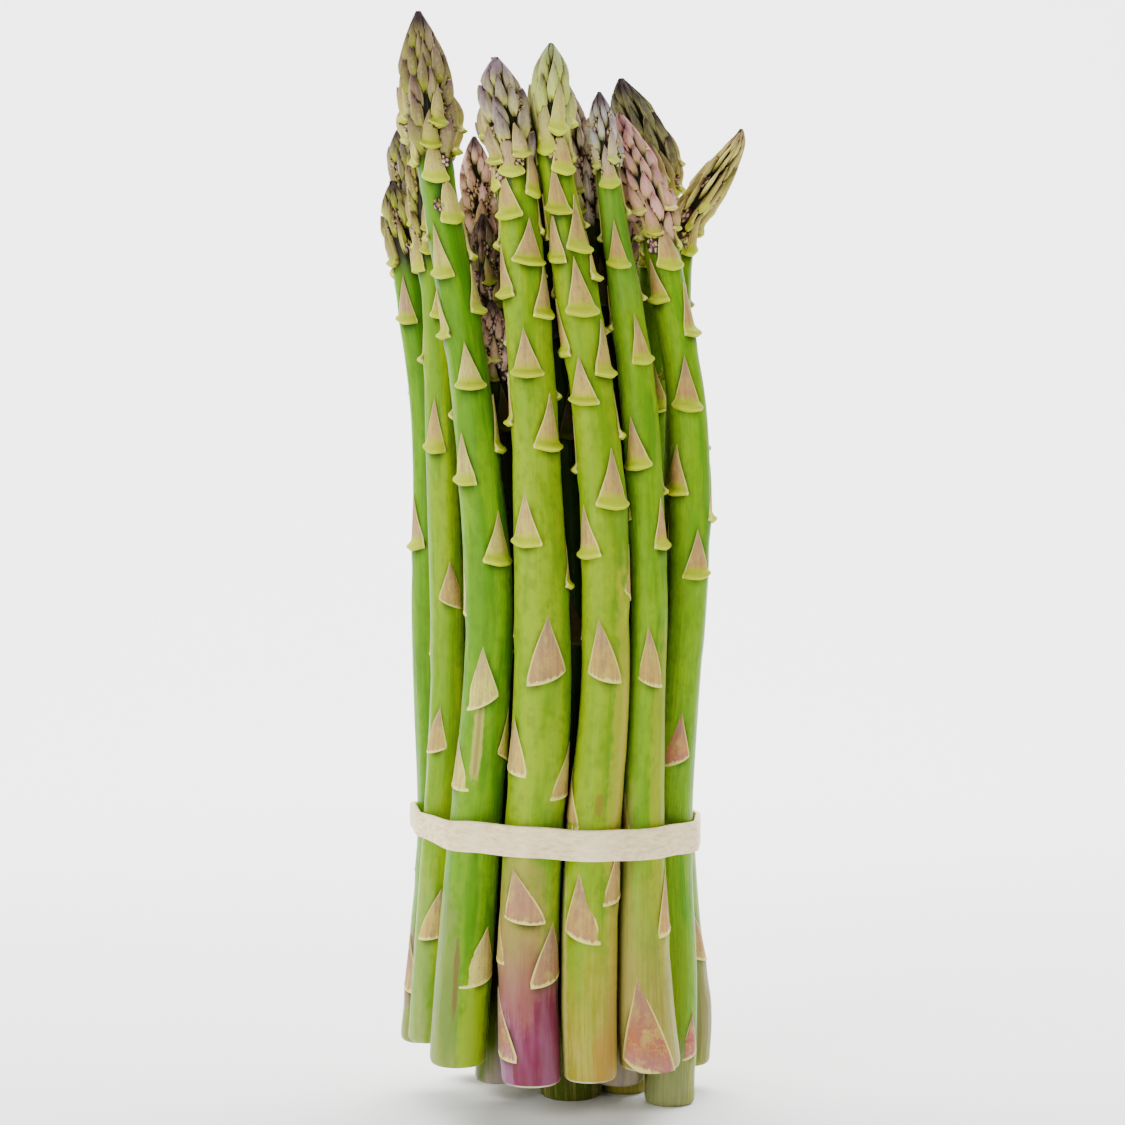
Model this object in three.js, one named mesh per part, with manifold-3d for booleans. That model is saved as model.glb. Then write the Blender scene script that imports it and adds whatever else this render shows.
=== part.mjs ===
// A bundle of asparagus: twenty spears standing on their cut ends, held by one flat rubber band.
// Units are millimetres, +Z is up, and -Y is the side the bundle shows to the front.
import * as THREE from 'three';
import { mergeVertices } from 'three/addons/utils/BufferGeometryUtils.js';
import Module from 'manifold-3d';

const wasm = await Module();
wasm.setup();

// ---- driving dimensions ----
const BUNDLE_TOP = 228;          // highest level worked on, just above the tallest tip
const LEVEL_STEP = 6;            // spacing of the levels at which the spears are packed
const SPEAR_GAP = 0.4;           // air left between neighbouring stems
const CLEARANCE = 0.3;           // air left between the scales of neighbouring spears
const STEM_RING_STEP = 21;       // spacing of the stem's rings
const BRACT_WIDTH = 0.74;        // width of a scale leaf, as a share of the stem's diameter
const BRACT_LENGTH = 10.8;       // height of a scale leaf
const BRACT_LIP = 0.95;          // how far the foot of a scale leaf stands off the stem
const GOLDEN_STEP = 137.5;       // turn from one scale leaf to the next, in degrees
const NET_SIDES = 5;             // scales in one row round a tip; a stem has twice as many facets
const GROOVE = 0.78;             // depth of the grooves between tip scales, as a share of the outline
const BELLY = 1.1;               // height of a tip scale's belly, as a share of the outline
const BAND_WIDTH = 6.3;          // a quarter-inch flat band
const BAND_THICKNESS = 1.1;
const BAND_HEIGHT = 56.5;        // middle of the band above the ground
const BAND_ROLL = -0.043;        // the band rides higher on the left
const BAND_GAP = 0.4;            // air between the band and the stems

// ---- the spears ----
// line: [height, x, y, diameter] up the stem; apex: [height, x, y]; tip: width of the tip;
// slim: under 1 for a tip that narrows early.
// leaves: [height, turn] of the scale leaves on the show side; the rest follow by the spiral.
// hand: which way the spiral climbs; hold: how firmly the spear keeps its place in the packing.
const SPEARS = [
  { name: 'spear_left_tall', slot: 'green_skin', hand: 1, hold: 0.7, tip: 12, slim: 0.8,
    apex: [221.2, -28, -21],
    line: [[10.7, -20.7, -20.5, 11.4], [28, -19.5, -19, 11.4], [54, -17.4, -16.8, 10.9],
      [84, -14.8, -17.2, 9.6], [104, -14.1, -17.6, 9.5], [124, -15.5, -18, 9.1],
      [144, -17.4, -18.6, 8.2], [164, -20.1, -19.2, 8], [184, -23.6, -19.8, 7], [194, -25, -20.1, 7.6]],
    leaves: [[28, 38], [67, -60], [84, -8], [112, 32], [128, -48], [147, 2], [162, 68], [169, -36],
      [180, 34], [188, -4]] },
  { name: 'spear_front_thick', slot: 'bright_skin', hand: -1, hold: 0.9, tip: 10.8, apex: [212, -12.8, -24],
    line: [[7.6, -5.6, -24, 12], [28, -6.3, -22.8, 12], [54, -5.3, -21.2, 11.9],
      [84, -3.6, -21.3, 11.6], [104, -3.6, -21.6, 11], [124, -4.4, -22, 9.9],
      [144, -5.3, -22.4, 9.1], [164, -6.8, -22.8, 9.1], [184, -8.4, -23.2, 7.7], [192, -9.3, -23.4, 7.7]],
    leaves: [[14, -74], [29, 48], [41, -12], [66, 69], [71, -65], [89.5, 10], [116, -34], [135, 36],
      [149.5, -10], [161, 58], [165, -62], [171.5, 18], [180.5, -30], [185, 62], [189, -8]] },
  { name: 'spear_front_pale', slot: 'bright_skin', hand: -1, hold: 0.9, tip: 9.2, apex: [214.9, -1.8, -22],
    line: [[8.2, 5.9, -23.4, 10.8], [28, 5.7, -22.2, 11.3], [54, 6.3, -20.9, 11.1],
      [84, 8.8, -21, 9.8], [104, 9, -21.2, 9.4], [124, 8.6, -21.5, 9.4], [144, 6.6, -21.6, 8.6],
      [164, 3.6, -21.7, 8.8], [184, 0.2, -21.8, 6.8], [196, -1.6, -21.9, 6.8]],
    leaves: [[37.5, -18], [45, 66], [89.5, -2], [113.5, -49], [123.5, 26], [144, -28], [149.5, 54],
      [161.5, 8], [172, -49], [174, 36], [181.5, -15], [189.5, 29], [193.5, -27]] },
  { name: 'spear_front_teal', slot: 'teal_skin', hand: -1, hold: 0.8, tip: 6.4, apex: [205.8, 7.7, -16],
    line: [[10, 18.3, -20.2, 12.4], [24, 17.1, -19.2, 11.5], [54, 16.7, -17.2, 8.9],
      [84, 17.3, -17, 7.6], [104, 17.9, -17, 7.4], [124, 17.1, -17, 7.4], [144, 15.7, -16.8, 7.4],
      [164, 13.1, -16.6, 6.5], [184, 10.2, -16.4, 5], [191, 9.4, -16.3, 5]],
    leaves: [[10.6, -3], [38, 72], [88, 12], [115, 55], [131, -19], [152, 31], [171, -8], [187, 5]] },
  { name: 'spear_right_long', slot: 'bright_skin', hand: -1, hold: 0.8, tip: 10.2, apex: [202, 11.6, -11],
    line: [[0, 22, -10.2, 10.4], [24, 22.8, -9.4, 10.2], [54, 22.3, -8.6, 9.2], [84, 24.3, -8.9, 8.1],
      [104, 25.9, -9.2, 8], [124, 26.3, -9.5, 8.5], [144, 25.7, -9.8, 7.8], [164, 22.4, -10.1, 7.3],
      [178, 19.6, -10.3, 7]],
    leaves: [[10.5, 47], [71, 2], [108.5, 26], [125.5, -48], [142.5, -3], [157.5, 60], [164, -44],
      [171, 18], [177.5, -24]] },
  { name: 'spear_left_middle', slot: 'green_skin', hand: 1, hold: 0.7, tip: 6.6, apex: [197, -29.4, -9.5],
    line: [[12.9, -27, -9.6, 8.6], [30, -25.9, -8.7, 8.6], [54, -24.4, -7.6, 8], [84, -22.9, -7.7, 7.4],
      [104, -22.9, -7.8, 7.2], [124, -23.5, -8, 6.8], [144, -24.1, -8.2, 6.6], [164, -24.9, -8.6, 6.2],
      [175, -26.4, -8.9, 6]],
    leaves: [[35, -7], [73, -40], [103, 15], [134, -31], [161, 20]] },
  { name: 'spear_left_edge', slot: 'green_skin', hand: 1, hold: 0.7, tip: 7.4, apex: [189, -34.6, 2],
    line: [[10.5, -29, 1.2, 8.8], [30, -27.2, 1.6, 8.8], [54, -25.4, 2, 8.8], [84, -26.4, 2, 8.2],
      [104, -26.8, 2, 8], [124, -26.5, 2, 7.8], [144, -27.4, 2, 7.4], [164, -30.2, 2, 6.8],
      [172, -31.2, 2, 6.4]],
    leaves: [[22, -60], [60, 20], [113.5, -58], [160, -30]] },
  { name: 'spear_right_leaning', slot: 'bright_skin', hand: 1, hold: 0.5, tip: 7.8,
    apex: [199.5, 37.6, 1.5],
    line: [[5.2, 27, 3, 8.8], [17, 27.4, 2.8, 8.8], [34, 25, 2.2, 8.8], [54, 23.6, 1.6, 8.6],
      [84, 22.4, 1.2, 8.2], [104, 23, 0.5, 7.8], [124, 24.4, 0, 7], [144, 24.8, -1, 6.2],
      [160, 24.2, -1.3, 5.2], [172, 24.8, -0.8, 4.8], [179, 25.6, -0.3, 5.2]],
    leaves: [[28, 60], [62, 10], [100, 80], [130, 30], [158, 25], [174, 40]] },
  { name: 'spear_left_behind', slot: 'green_skin', hand: -1, hold: 0.3, tip: 8, apex: [200.7, -33, 8],
    line: [[4.2, -15.2, 13, 10], [54, -17.4, 12.2, 9.6], [104, -18.5, 11.5, 9], [144, -21.5, 10, 8],
      [170, -26.5, 8.5, 7], [185, -30.3, 8, 6.6]],
    leaves: [[18, 120]] },
  { name: 'spear_right_behind', slot: 'teal_skin', hand: 1, hold: 0.4, tip: 12, slim: 1,
    apex: [210.3, 12.6, 8],
    line: [[0, 14.6, 8.6, 9.8], [54, 16.2, 11.6, 9.4], [104, 18, 11, 9], [144, 19.5, 10, 8.4],
      [175, 20, 9, 7.6], [188, 20.8, 8.4, 7.6]],
    leaves: [[12, 20]] },
  { name: 'spear_inner_short', slot: 'olive_skin', hand: 1, hold: 0.5, tip: 6.6,
    apex: [164.5, -13.8, -12.6],
    line: [[4.8, -12.8, -10.6, 9.8], [54, -11.4, -9, 9.8], [104, -10.6, -10, 8.6], [136, -12, -11.4, 7.2],
      [149, -12.9, -12.2, 6.2]],
    leaves: [[84, 0]] },
  { name: 'spear_inner_front', slot: 'green_skin', hand: -1, hold: 0.85, tip: 8, apex: [204, -4.8, -14.6],
    line: [[0, 2.6, -3, 13], [28, 1.6, -5.6, 11], [54, 0.4, -10, 10.2], [104, 2.4, -12, 9.2],
      [144, 0, -13, 8.2], [180, -4.2, -14, 7.2], [189, -5, -14.4, 7]],
    leaves: [[96, 0]] },
  { name: 'spear_inner_right', slot: 'olive_skin', hand: 1, hold: 0.2, tip: 7.8, apex: [208, 1.4, -10],
    line: [[4.2, 12.4, -8.4, 9.8], [54, 11.6, -8.8, 9.6], [104, 13, -10, 8.6], [144, 11, -11, 7.8],
      [170, 8, -11, 7.2], [181, 6.4, -11, 7.2]],
    leaves: [[110, 0]] },
  { name: 'spear_inner_left', slot: 'olive_skin', hand: -1, hold: 0.2, tip: 7.4, apex: [182, -15.8, -4],
    line: [[5, -12.6, 1.8, 10], [54, -13.4, 2.2, 9.8], [104, -12.6, 0.5, 8.8], [144, -13, -2, 7.8],
      [164, -14.8, -3.5, 6.8]],
    leaves: [[100, 10]] },
  { name: 'spear_centre', slot: 'green_skin', hand: 1, hold: 0.2, tip: 8.2, apex: [199, -9.5, -2.5],
    line: [[0, -2, 9, 10.4], [54, -1.6, 1.2, 10.2], [104, -2, 0, 9.2], [150, -4, -1, 8.2],
      [178, -7.6, -2, 7.2]],
    leaves: [[104, 30]] },
  { name: 'spear_inner_dark', slot: 'olive_skin', hand: -1, hold: 0.2, tip: 7.4, apex: [185, 6.8, -5],
    line: [[0, 9.6, 2, 9.8], [54, 10.2, 2.2, 9.6], [104, 9.6, 0, 8.8], [144, 8.8, -3, 7.8],
      [167, 8, -4.5, 6.8]],
    leaves: [[108, -20]] },
  { name: 'spear_back_left', slot: 'green_skin', hand: 1, hold: 0.3, tip: 8, apex: [198, -17.6, 1.5],
    line: [[1, -6.4, 12.4, 10], [54, -6.8, 12.4, 9.8], [104, -8, 10, 8.8], [144, -11.5, 6, 8],
      [172, -15, 3, 7.2], [178, -15.8, 2.6, 7]],
    leaves: [[112, 180]] },
  { name: 'spear_back_middle', slot: 'olive_skin', hand: -1, hold: 0.3, tip: 8, apex: [190, 14, 3],
    line: [[0, 4.4, 12.6, 10], [54, 4.8, 12.4, 9.8], [104, 6, 10.5, 9], [144, 9, 8, 8],
      [170, 12, 5, 7.2]],
    leaves: [[100, 170]] },
  { name: 'spear_rear_left', slot: 'bright_skin', hand: 1, hold: 0.4, tip: 9.2, apex: [200, -9.6, 20],
    line: [[0, -4.6, 22.4, 10.4], [54, -3.9, 21.6, 10.2], [104, -4.4, 22.2, 9.4], [150, -6.6, 22, 8.2],
      [177, -8.6, 21.4, 7.2]],
    leaves: [[16, 170]] },
  { name: 'spear_rear_right', slot: 'green_skin', hand: -1, hold: 0.4, tip: 9, apex: [195, 10.8, 20.6],
    line: [[0, 8.8, 22, 10.2], [54, 8, 21.6, 10], [104, 9.4, 22.4, 9.2], [150, 11.2, 22.6, 8.2],
      [172, 12.4, 22.2, 7.2]],
    leaves: [[20, 190]] },
];

const SKINS = {
  green_skin: [0x6f9a2c, 0.5],
  bright_skin: [0x8fb32a, 0.5],
  teal_skin: [0x6f9c4a, 0.52],
  olive_skin: [0x72863a, 0.55],
  band_rubber: [0xd9cdb4, 0.75],
};

// ---- lines and profiles ----

// Reads a smooth curve through rows of [at, value, value, ...] and gives the values at one height.
function along(rows, at) {
  const last = rows.length - 1;
  let k = 0;
  while (k < last - 1 && at > rows[k + 1][0]) k += 1;
  const a = rows[k];
  const b = rows[k + 1];
  const before = rows[Math.max(k - 1, 0)];
  const after = rows[Math.min(k + 2, last)];
  const span = b[0] - a[0];
  const t = Math.min(Math.max((at - a[0]) / span, 0), 1);
  const values = [];
  for (let c = 1; c < a.length; c += 1) {
    const slopeA = (b[c] - before[c]) / (b[0] - before[0]) * span;
    const slopeB = (after[c] - a[c]) / (after[0] - a[0]) * span;
    const t2 = t * t;
    const t3 = t2 * t;
    values.push((2 * t3 - 3 * t2 + 1) * a[c] + (t3 - 2 * t2 + t) * slopeA
      + (3 * t2 - 2 * t3) * b[c] + (t3 - t2) * slopeB);
  }
  return values;
}

// The outline of a tip from its shoulder (0) to its apex (1), as a share of its half width.
const TIP_OUTLINE = [[0, 0.66], [0.12, 0.9], [0.28, 1], [0.5, 0.9], [0.7, 0.68], [0.86, 0.4], [1, 0.07]];

function shoulder(spear) {
  return spear.line[spear.line.length - 1];
}

function foot(spear) {
  return spear.line[0][0];
}

// Half the width a spear takes up at a height: its stem, then its tip.
function outlineRadius(spear, z) {
  const top = shoulder(spear);
  if (z <= top[0]) return along(spear.line, z)[2] / 2;
  const u = Math.min((z - top[0]) / (spear.apex[0] - top[0]), 1);
  const start = top[3] / 2;
  const tip = along(TIP_OUTLINE, u ** (spear.slim ?? 1))[0] * spear.tip / 2;
  const blend = Math.min(u / 0.12, 1);
  return start + (tip - start) * blend;
}

// ---- packing: every spear is pushed clear of its neighbours, level by level ----

function drawnCentre(spear, z) {
  const rows = [...spear.line.map((r) => [r[0], r[1], r[2]]), spear.apex];
  return along(rows, Math.min(Math.max(z, foot(spear)), spear.apex[0]));
}

function packBundle(spears) {
  const levels = Math.round(BUNDLE_TOP / LEVEL_STEP) + 1;
  for (const spear of spears) {
    spear.drawn = [];
    spear.packed = [];
    spear.room = [];
    for (let k = 0; k < levels; k += 1) {
      const z = k * LEVEL_STEP;
      spear.drawn.push(drawnCentre(spear, z));
      spear.packed.push(drawnCentre(spear, z));
      const here = z > foot(spear) - LEVEL_STEP && z < spear.apex[0] + 1;
      const share = z > shoulder(spear)[0] ? 0.86 : 1;
      const height = Math.min(Math.max(z, foot(spear)), spear.apex[0]);
      spear.room.push(here ? Math.max(outlineRadius(spear, height) * share, 1.2) : 0);
    }
  }
  for (let round = 0; round < 420; round += 1) {
    const settling = round < 330;
    for (let k = 0; k < levels; k += 1) {
      pushApart(spears, k);
    }
    if (settling) {
      for (const spear of spears) relaxLine(spear, levels);
    }
  }
}

function pushApart(spears, k) {
  for (let i = 0; i < spears.length; i += 1) {
    const a = spears[i];
    if (a.room[k] === 0) continue;
    for (let j = i + 1; j < spears.length; j += 1) {
      const b = spears[j];
      if (b.room[k] === 0) continue;
      const dx = b.packed[k][0] - a.packed[k][0];
      const dy = b.packed[k][1] - a.packed[k][1];
      const apart = Math.hypot(dx, dy);
      const want = a.room[k] + b.room[k] + SPEAR_GAP;
      if (apart >= want) continue;
      const easeA = 1 - a.hold;
      const easeB = 1 - b.hold;
      const push = (want - apart) / apart / (easeA + easeB);
      a.packed[k][0] -= dx * push * easeA;
      a.packed[k][1] -= dy * push * easeA;
      b.packed[k][0] += dx * push * easeB;
      b.packed[k][1] += dy * push * easeB;
    }
  }
}

// Keeps a stem a smooth line, and draws a held spear back toward where it was set.
function relaxLine(spear, levels) {
  for (const c of [0, 1]) {
    const off = spear.packed.map((p, k) => p[c] - spear.drawn[k][c]);
    for (let k = 0; k < levels; k += 1) {
      const below = off[Math.max(k - 1, 0)];
      const above = off[Math.min(k + 1, levels - 1)];
      const smooth = 0.5 * off[k] + 0.25 * (below + above);
      spear.packed[k][c] = spear.drawn[k][c] + smooth * (1 - 0.02 * spear.hold);
    }
  }
}

function centre(spear, z) {
  const k = Math.floor(z / LEVEL_STEP);
  const rows = [];
  for (let n = Math.max(k - 1, 0); n <= Math.min(k + 2, spear.packed.length - 1); n += 1) {
    rows.push([n * LEVEL_STEP, ...spear.packed[n]]);
  }
  return along(rows, z);
}

// ---- keeping a point of one spear out of its neighbours and out from under the band ----

function bandLevel(x) {
  return BAND_HEIGHT + BAND_ROLL * x;
}

function keepClear(spears, spear, p) {
  const z = Math.min(Math.max(p.z, foot(spear)), spear.apex[0]);
  const [cx, cy] = centre(spear, z);
  const own = outlineRadius(spear, z);
  for (let pass = 0; pass < 3; pass += 1) {
    for (const other of spears) {
      if (other === spear || z < foot(other) - 3 || z > other.apex[0] + 2) continue;
      const level = Math.min(Math.max(z, foot(other)), other.apex[0]);
      const [ox, oy] = centre(other, level);
      const apart = Math.hypot(ox - cx, oy - cy);
      const theirs = outlineRadius(other, level);
      const nx = (ox - cx) / apart;
      const ny = (oy - cy) / apart;
      const limit = (apart * apart + own * own - theirs * theirs) / (2 * apart) - CLEARANCE / 2;
      const over = (p.x - cx) * nx + (p.y - cy) * ny - limit;
      if (over > 0) {
        p.x -= nx * over;
        p.y -= ny * over;
      }
    }
  }
  if (Math.abs(p.z - bandLevel(p.x)) < BAND_WIDTH / 2 + 1) {
    const reach = Math.hypot(p.x - cx, p.y - cy);
    const most = own + 0.08;
    if (reach > most) {
      p.x = cx + (p.x - cx) * most / reach;
      p.y = cy + (p.y - cy) * most / reach;
    }
  }
  return p;
}

// A point on a spear: height, turn from the front in degrees, and distance from its centre line.
function onSpear(spear, z, turn, reach) {
  const [cx, cy] = centre(spear, Math.min(Math.max(z, foot(spear)), spear.apex[0]));
  const a = THREE.MathUtils.degToRad(turn);
  return new THREE.Vector3(cx + Math.sin(a) * reach, cy - Math.cos(a) * reach, z);
}

// ---- solids ----

function solidOf(points, faces) {
  const geometry = new THREE.BufferGeometry();
  const flat = points.flatMap((p) => [p.x, p.y, p.z]);
  geometry.setAttribute('position', new THREE.Float32BufferAttribute(flat, 3));
  geometry.setIndex(faces.flat());
  return new wasm.Manifold(new wasm.Mesh({
    numProp: 3,
    vertProperties: geometry.getAttribute('position').array,
    triVerts: new Uint32Array(geometry.getIndex().array),
  }));
}

// A stem and the bud at its top as one skin. The bud is a diamond net: each scale is a diamond
// whose belly is raised and whose edges sink into the groove it shares with its neighbours.
function stemSolid(spears, spear, random) {
  const top = shoulder(spear)[0];
  const low = foot(spear);
  const tall = spear.apex[0] - top;
  const points = [];
  const faces = [];
  const count = Math.max(Math.round((top - low) / STEM_RING_STEP), 2);
  const sides = NET_SIDES * 2;
  for (let n = 0; n <= count; n += 1) {
    const z = low + (top - 1 - low) * n / count;
    for (let s = 0; s < sides; s += 1) {
      points.push(onSpear(spear, z, (s / sides) * 360, outlineRadius(spear, z)));
    }
  }
  for (let s = 1; s < sides - 1; s += 1) faces.push([0, s + 1, s]);
  for (let r = 0; r < count; r += 1) {
    for (let s = 0; s < sides; s += 1) {
      const a = r * sides + s;
      const b = r * sides + (s + 1) % sides;
      faces.push([a, b, b + sides], [a, b + sides, a + sides]);
    }
  }
  const rows = Math.max(Math.round(tall / 3.1), 4);
  const first = points.length;
  const levelOf = (row) => 0.94 * (row / rows) ** 0.92;
  const net = (row, spot, share, lift) => {
    const u = levelOf(row) + lift / tall;
    const z = top + tall * Math.min(u, 0.99);
    const turn = ((spot + row / 2) / NET_SIDES) * 360;
    const reach = Math.max(outlineRadius(spear, z) * share, 0.25);
    return keepClear(spears, spear, onSpear(spear, z, turn + (random() - 0.5) * 9, reach));
  };
  for (let row = 0; row <= rows; row += 1) {
    for (let s = 0; s < NET_SIDES; s += 1) points.push(net(row, s, GROOVE, 0));
  }
  const node = (row, s) => first + row * NET_SIDES + ((s % NET_SIDES) + NET_SIDES) % NET_SIDES;
  const last = count * sides;
  for (let s = 0; s < NET_SIDES; s += 1) {
    const even = last + s * 2;
    const odd = even + 1;
    const next = last + ((s + 1) * 2) % sides;
    faces.push([even, odd, node(0, s)], [odd, node(1, s), node(0, s)]);
    faces.push([odd, next, node(0, s + 1)], [odd, node(0, s + 1), node(1, s)]);
  }
  for (let row = 0; row < rows - 1; row += 1) {
    for (let s = 0; s < NET_SIDES; s += 1) {
      const belly = points.length;
      points.push(net(row + 1, s - 0.5, BELLY, -0.35));
      const base = node(row, s);
      const right = node(row + 1, s);
      const left = node(row + 1, s - 1);
      const tip = node(row + 2, s - 1);
      faces.push([base, right, belly], [right, tip, belly], [tip, left, belly], [left, base, belly]);
    }
  }
  const apex = points.length;
  points.push(onSpear(spear, spear.apex[0], 0, 0));
  for (let s = 0; s < NET_SIDES; s += 1) {
    faces.push([node(rows - 1, s), node(rows, s), apex], [node(rows, s - 1), node(rows - 1, s), apex]);
  }
  return solidOf(points, faces);
}

// A scale leaf: a pointed triangle lying on the stem, its foot lifted into a lip with two corners.
function bractSolid(spears, spear, leaf) {
  const [z, turn] = leaf;
  const radius = outlineRadius(spear, z);
  const half = THREE.MathUtils.radToDeg(BRACT_WIDTH * radius / (radius + 0.5));
  const length = BRACT_LENGTH * (0.75 + 0.25 * radius / 5);
  const at = (side, up, lift) => onSpear(
    spear, z + up, turn + half * side, outlineRadius(spear, Math.min(z + up, spear.apex[0])) + lift,
  );
  const points = [
    at(-1, -0.3, BRACT_LIP), at(0, 0, BRACT_LIP), at(1, -0.3, BRACT_LIP),
    at(0, length, 0.4), at(0, length * 0.25, -2.6),
  ];
  for (const p of points) keepClear(spears, spear, p);
  const faces = [[0, 1, 3], [1, 2, 3], [0, 4, 1], [1, 4, 2], [2, 4, 3], [3, 4, 0]];
  return solidOf(points, faces);
}

// ---- where the scale leaves sit ----

function wrap(turn) {
  return ((turn % 360) + 540) % 360 - 180;
}

// Between two known leaves the hidden ones climb round the back by the golden step.
function fillBetween(from, to, hand) {
  let best = 1;
  let least = 1e9;
  for (let n = 1; n <= 3; n += 1) {
    const miss = Math.abs(wrap(to[1] - from[1] - hand * GOLDEN_STEP * n)) / n;
    const crowd = (to[0] - from[0]) / n < 3 ? 40 : 0;
    if (miss + crowd < least) {
      least = miss + crowd;
      best = n;
    }
  }
  const drift = wrap(to[1] - from[1] - hand * GOLDEN_STEP * best) / best;
  const between = [];
  for (let n = 1; n < best; n += 1) {
    const t = n / best;
    between.push([from[0] + (to[0] - from[0]) * t, wrap(from[1] + (hand * GOLDEN_STEP + drift) * n)]);
  }
  return between;
}

function leavesOf(spear) {
  const known = spear.leaves;
  const all = [];
  for (let n = 0; n < known.length; n += 1) {
    all.push(known[n]);
    if (n < known.length - 1) all.push(...fillBetween(known[n], known[n + 1], spear.hand));
  }
  const top = shoulder(spear)[0];
  let [z, turn] = all[all.length - 1];
  for (;;) {
    const left = (top - z) / top;
    z += 4.2 + 10 * Math.max(left, 0);
    turn += spear.hand * GOLDEN_STEP;
    if (z > top - 1) break;
    all.push([z, wrap(turn)]);
  }
  return all;
}

function spearMesh(spears, spear, random) {
  const parts = [stemSolid(spears, spear, random)];
  for (const leaf of leavesOf(spear)) parts.push(bractSolid(spears, spear, leaf));
  let whole = parts[0];
  for (const part of parts.slice(1)) whole = whole.add(part);
  return meshOf(spear.name, whole, spear.slot);
}

// ---- the band ----

function hullOf(points) {
  const sorted = [...points].sort((a, b) => a[0] - b[0] || a[1] - b[1]);
  const side = (list) => {
    const out = [];
    for (const p of list) {
      while (out.length > 1) {
        const [a, b] = out.slice(-2);
        if ((b[0] - a[0]) * (p[1] - a[1]) - (b[1] - a[1]) * (p[0] - a[0]) > 1e-9) break;
        out.pop();
      }
      out.push(p);
    }
    return out.slice(0, -1);
  };
  return [...side(sorted), ...side(sorted.reverse())];
}

// The stretched line the band takes round the stems, corner points closer than a step merged.
function bandLine(spears) {
  const points = [];
  for (const spear of spears) {
    for (const dz of [-BAND_WIDTH / 2, 0, BAND_WIDTH / 2]) {
      const z = BAND_HEIGHT + dz;
      const [cx, cy] = centre(spear, z);
      const reach = (outlineRadius(spear, z) + BAND_GAP) / Math.cos(Math.PI / 20);
      for (let s = 0; s < 20; s += 1) {
        const a = (s / 20) * Math.PI * 2;
        points.push([cx + Math.cos(a) * reach, cy + Math.sin(a) * reach]);
      }
    }
  }
  const line = [];
  for (const p of hullOf(points)) {
    const last = line[line.length - 1];
    if (!last || Math.hypot(p[0] - last[0], p[1] - last[1]) > 0.9) line.push(p);
  }
  return line;
}

function bandMesh(spears) {
  const line = bandLine(spears);
  const half = BAND_WIDTH / 2;
  const soft = 0.25;
  const section = [[0, -half], [BAND_THICKNESS - soft, -half], [BAND_THICKNESS, -half + soft],
    [BAND_THICKNESS, half - soft], [BAND_THICKNESS - soft, half], [0, half]];
  const points = [];
  const faces = [];
  const count = line.length;
  for (let n = 0; n < count; n += 1) {
    const before = line[(n + count - 1) % count];
    const after = line[(n + 1) % count];
    const here = line[n];
    const nIn = new THREE.Vector2(here[1] - before[1], before[0] - here[0]).normalize();
    const nOut = new THREE.Vector2(after[1] - here[1], here[0] - after[0]).normalize();
    const out = nIn.clone().add(nOut).normalize();
    const mitre = 1 / Math.max(out.dot(nIn), 0.5);
    for (const [reach, dz] of section) {
      const x = here[0] + out.x * reach * mitre;
      const y = here[1] + out.y * reach * mitre;
      points.push(new THREE.Vector3(x, y, bandLevel(here[0]) + dz));
    }
    for (let s = 0; s < 6; s += 1) {
      const a = n * 6 + s;
      const b = n * 6 + (s + 1) % 6;
      const c = ((n + 1) % count) * 6 + s;
      const d = ((n + 1) % count) * 6 + (s + 1) % 6;
      faces.push([a, c, d], [a, d, b]);
    }
  }
  return meshOf('rubber_band', solidOf(points, faces), 'band_rubber');
}

// ---- meshes ----

// Where scales close over each other a pocket can be left inside; only the outer skin is kept.
function outerSkin(geometry) {
  const index = geometry.getIndex().array;
  const position = geometry.getAttribute('position');
  const root = Array.from({ length: position.count }, (_, n) => n);
  const find = (n) => {
    while (root[n] !== n) {
      root[n] = root[root[n]];
      n = root[n];
    }
    return n;
  };
  for (let t = 0; t < index.length; t += 3) {
    root[find(index[t + 1])] = find(index[t]);
    root[find(index[t + 2])] = find(index[t]);
  }
  const volumes = new Map();
  const corner = (n) => new THREE.Vector3().fromBufferAttribute(position, n);
  for (let t = 0; t < index.length; t += 3) {
    const [a, b, c] = [0, 1, 2].map((n) => corner(index[t + n]));
    const shell = find(index[t]);
    volumes.set(shell, (volumes.get(shell) ?? 0) + a.dot(b.cross(c)) / 6);
  }
  const skin = [...volumes].sort((a, b) => b[1] - a[1])[0][0];
  const kept = [];
  for (let t = 0; t < index.length; t += 3) {
    if (find(index[t]) === skin) kept.push(index[t], index[t + 1], index[t + 2]);
  }
  geometry.setIndex(kept);
  return geometry;
}

function meshOf(name, solid, slot) {
  const data = solid.getMesh();
  const joined = new THREE.BufferGeometry();
  joined.setAttribute('position', new THREE.BufferAttribute(new Float32Array(data.vertProperties), 3));
  joined.setIndex(new THREE.BufferAttribute(new Uint32Array(data.triVerts), 1));
  const geometry = outerSkin(mergeVertices(joined, 1e-3));
  const [color, roughness] = SKINS[slot];
  const material = new THREE.MeshStandardMaterial({ name: slot, color, roughness, metalness: 0 });
  const mesh = new THREE.Mesh(geometry, material);
  mesh.name = name;
  return mesh;
}

// A seeded draw, the same on every run.
function seededDraws(seed) {
  let state = seed;
  return () => {
    state = (state * 16807) % 2147483647;
    return state / 2147483647;
  };
}

packBundle(SPEARS);

const group = new THREE.Group();
group.name = 'asparagus_bundle';
const random = seededDraws(4711);
for (const spear of SPEARS) group.add(spearMesh(SPEARS, spear, random));
group.add(bandMesh(SPEARS));

export default group;
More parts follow.
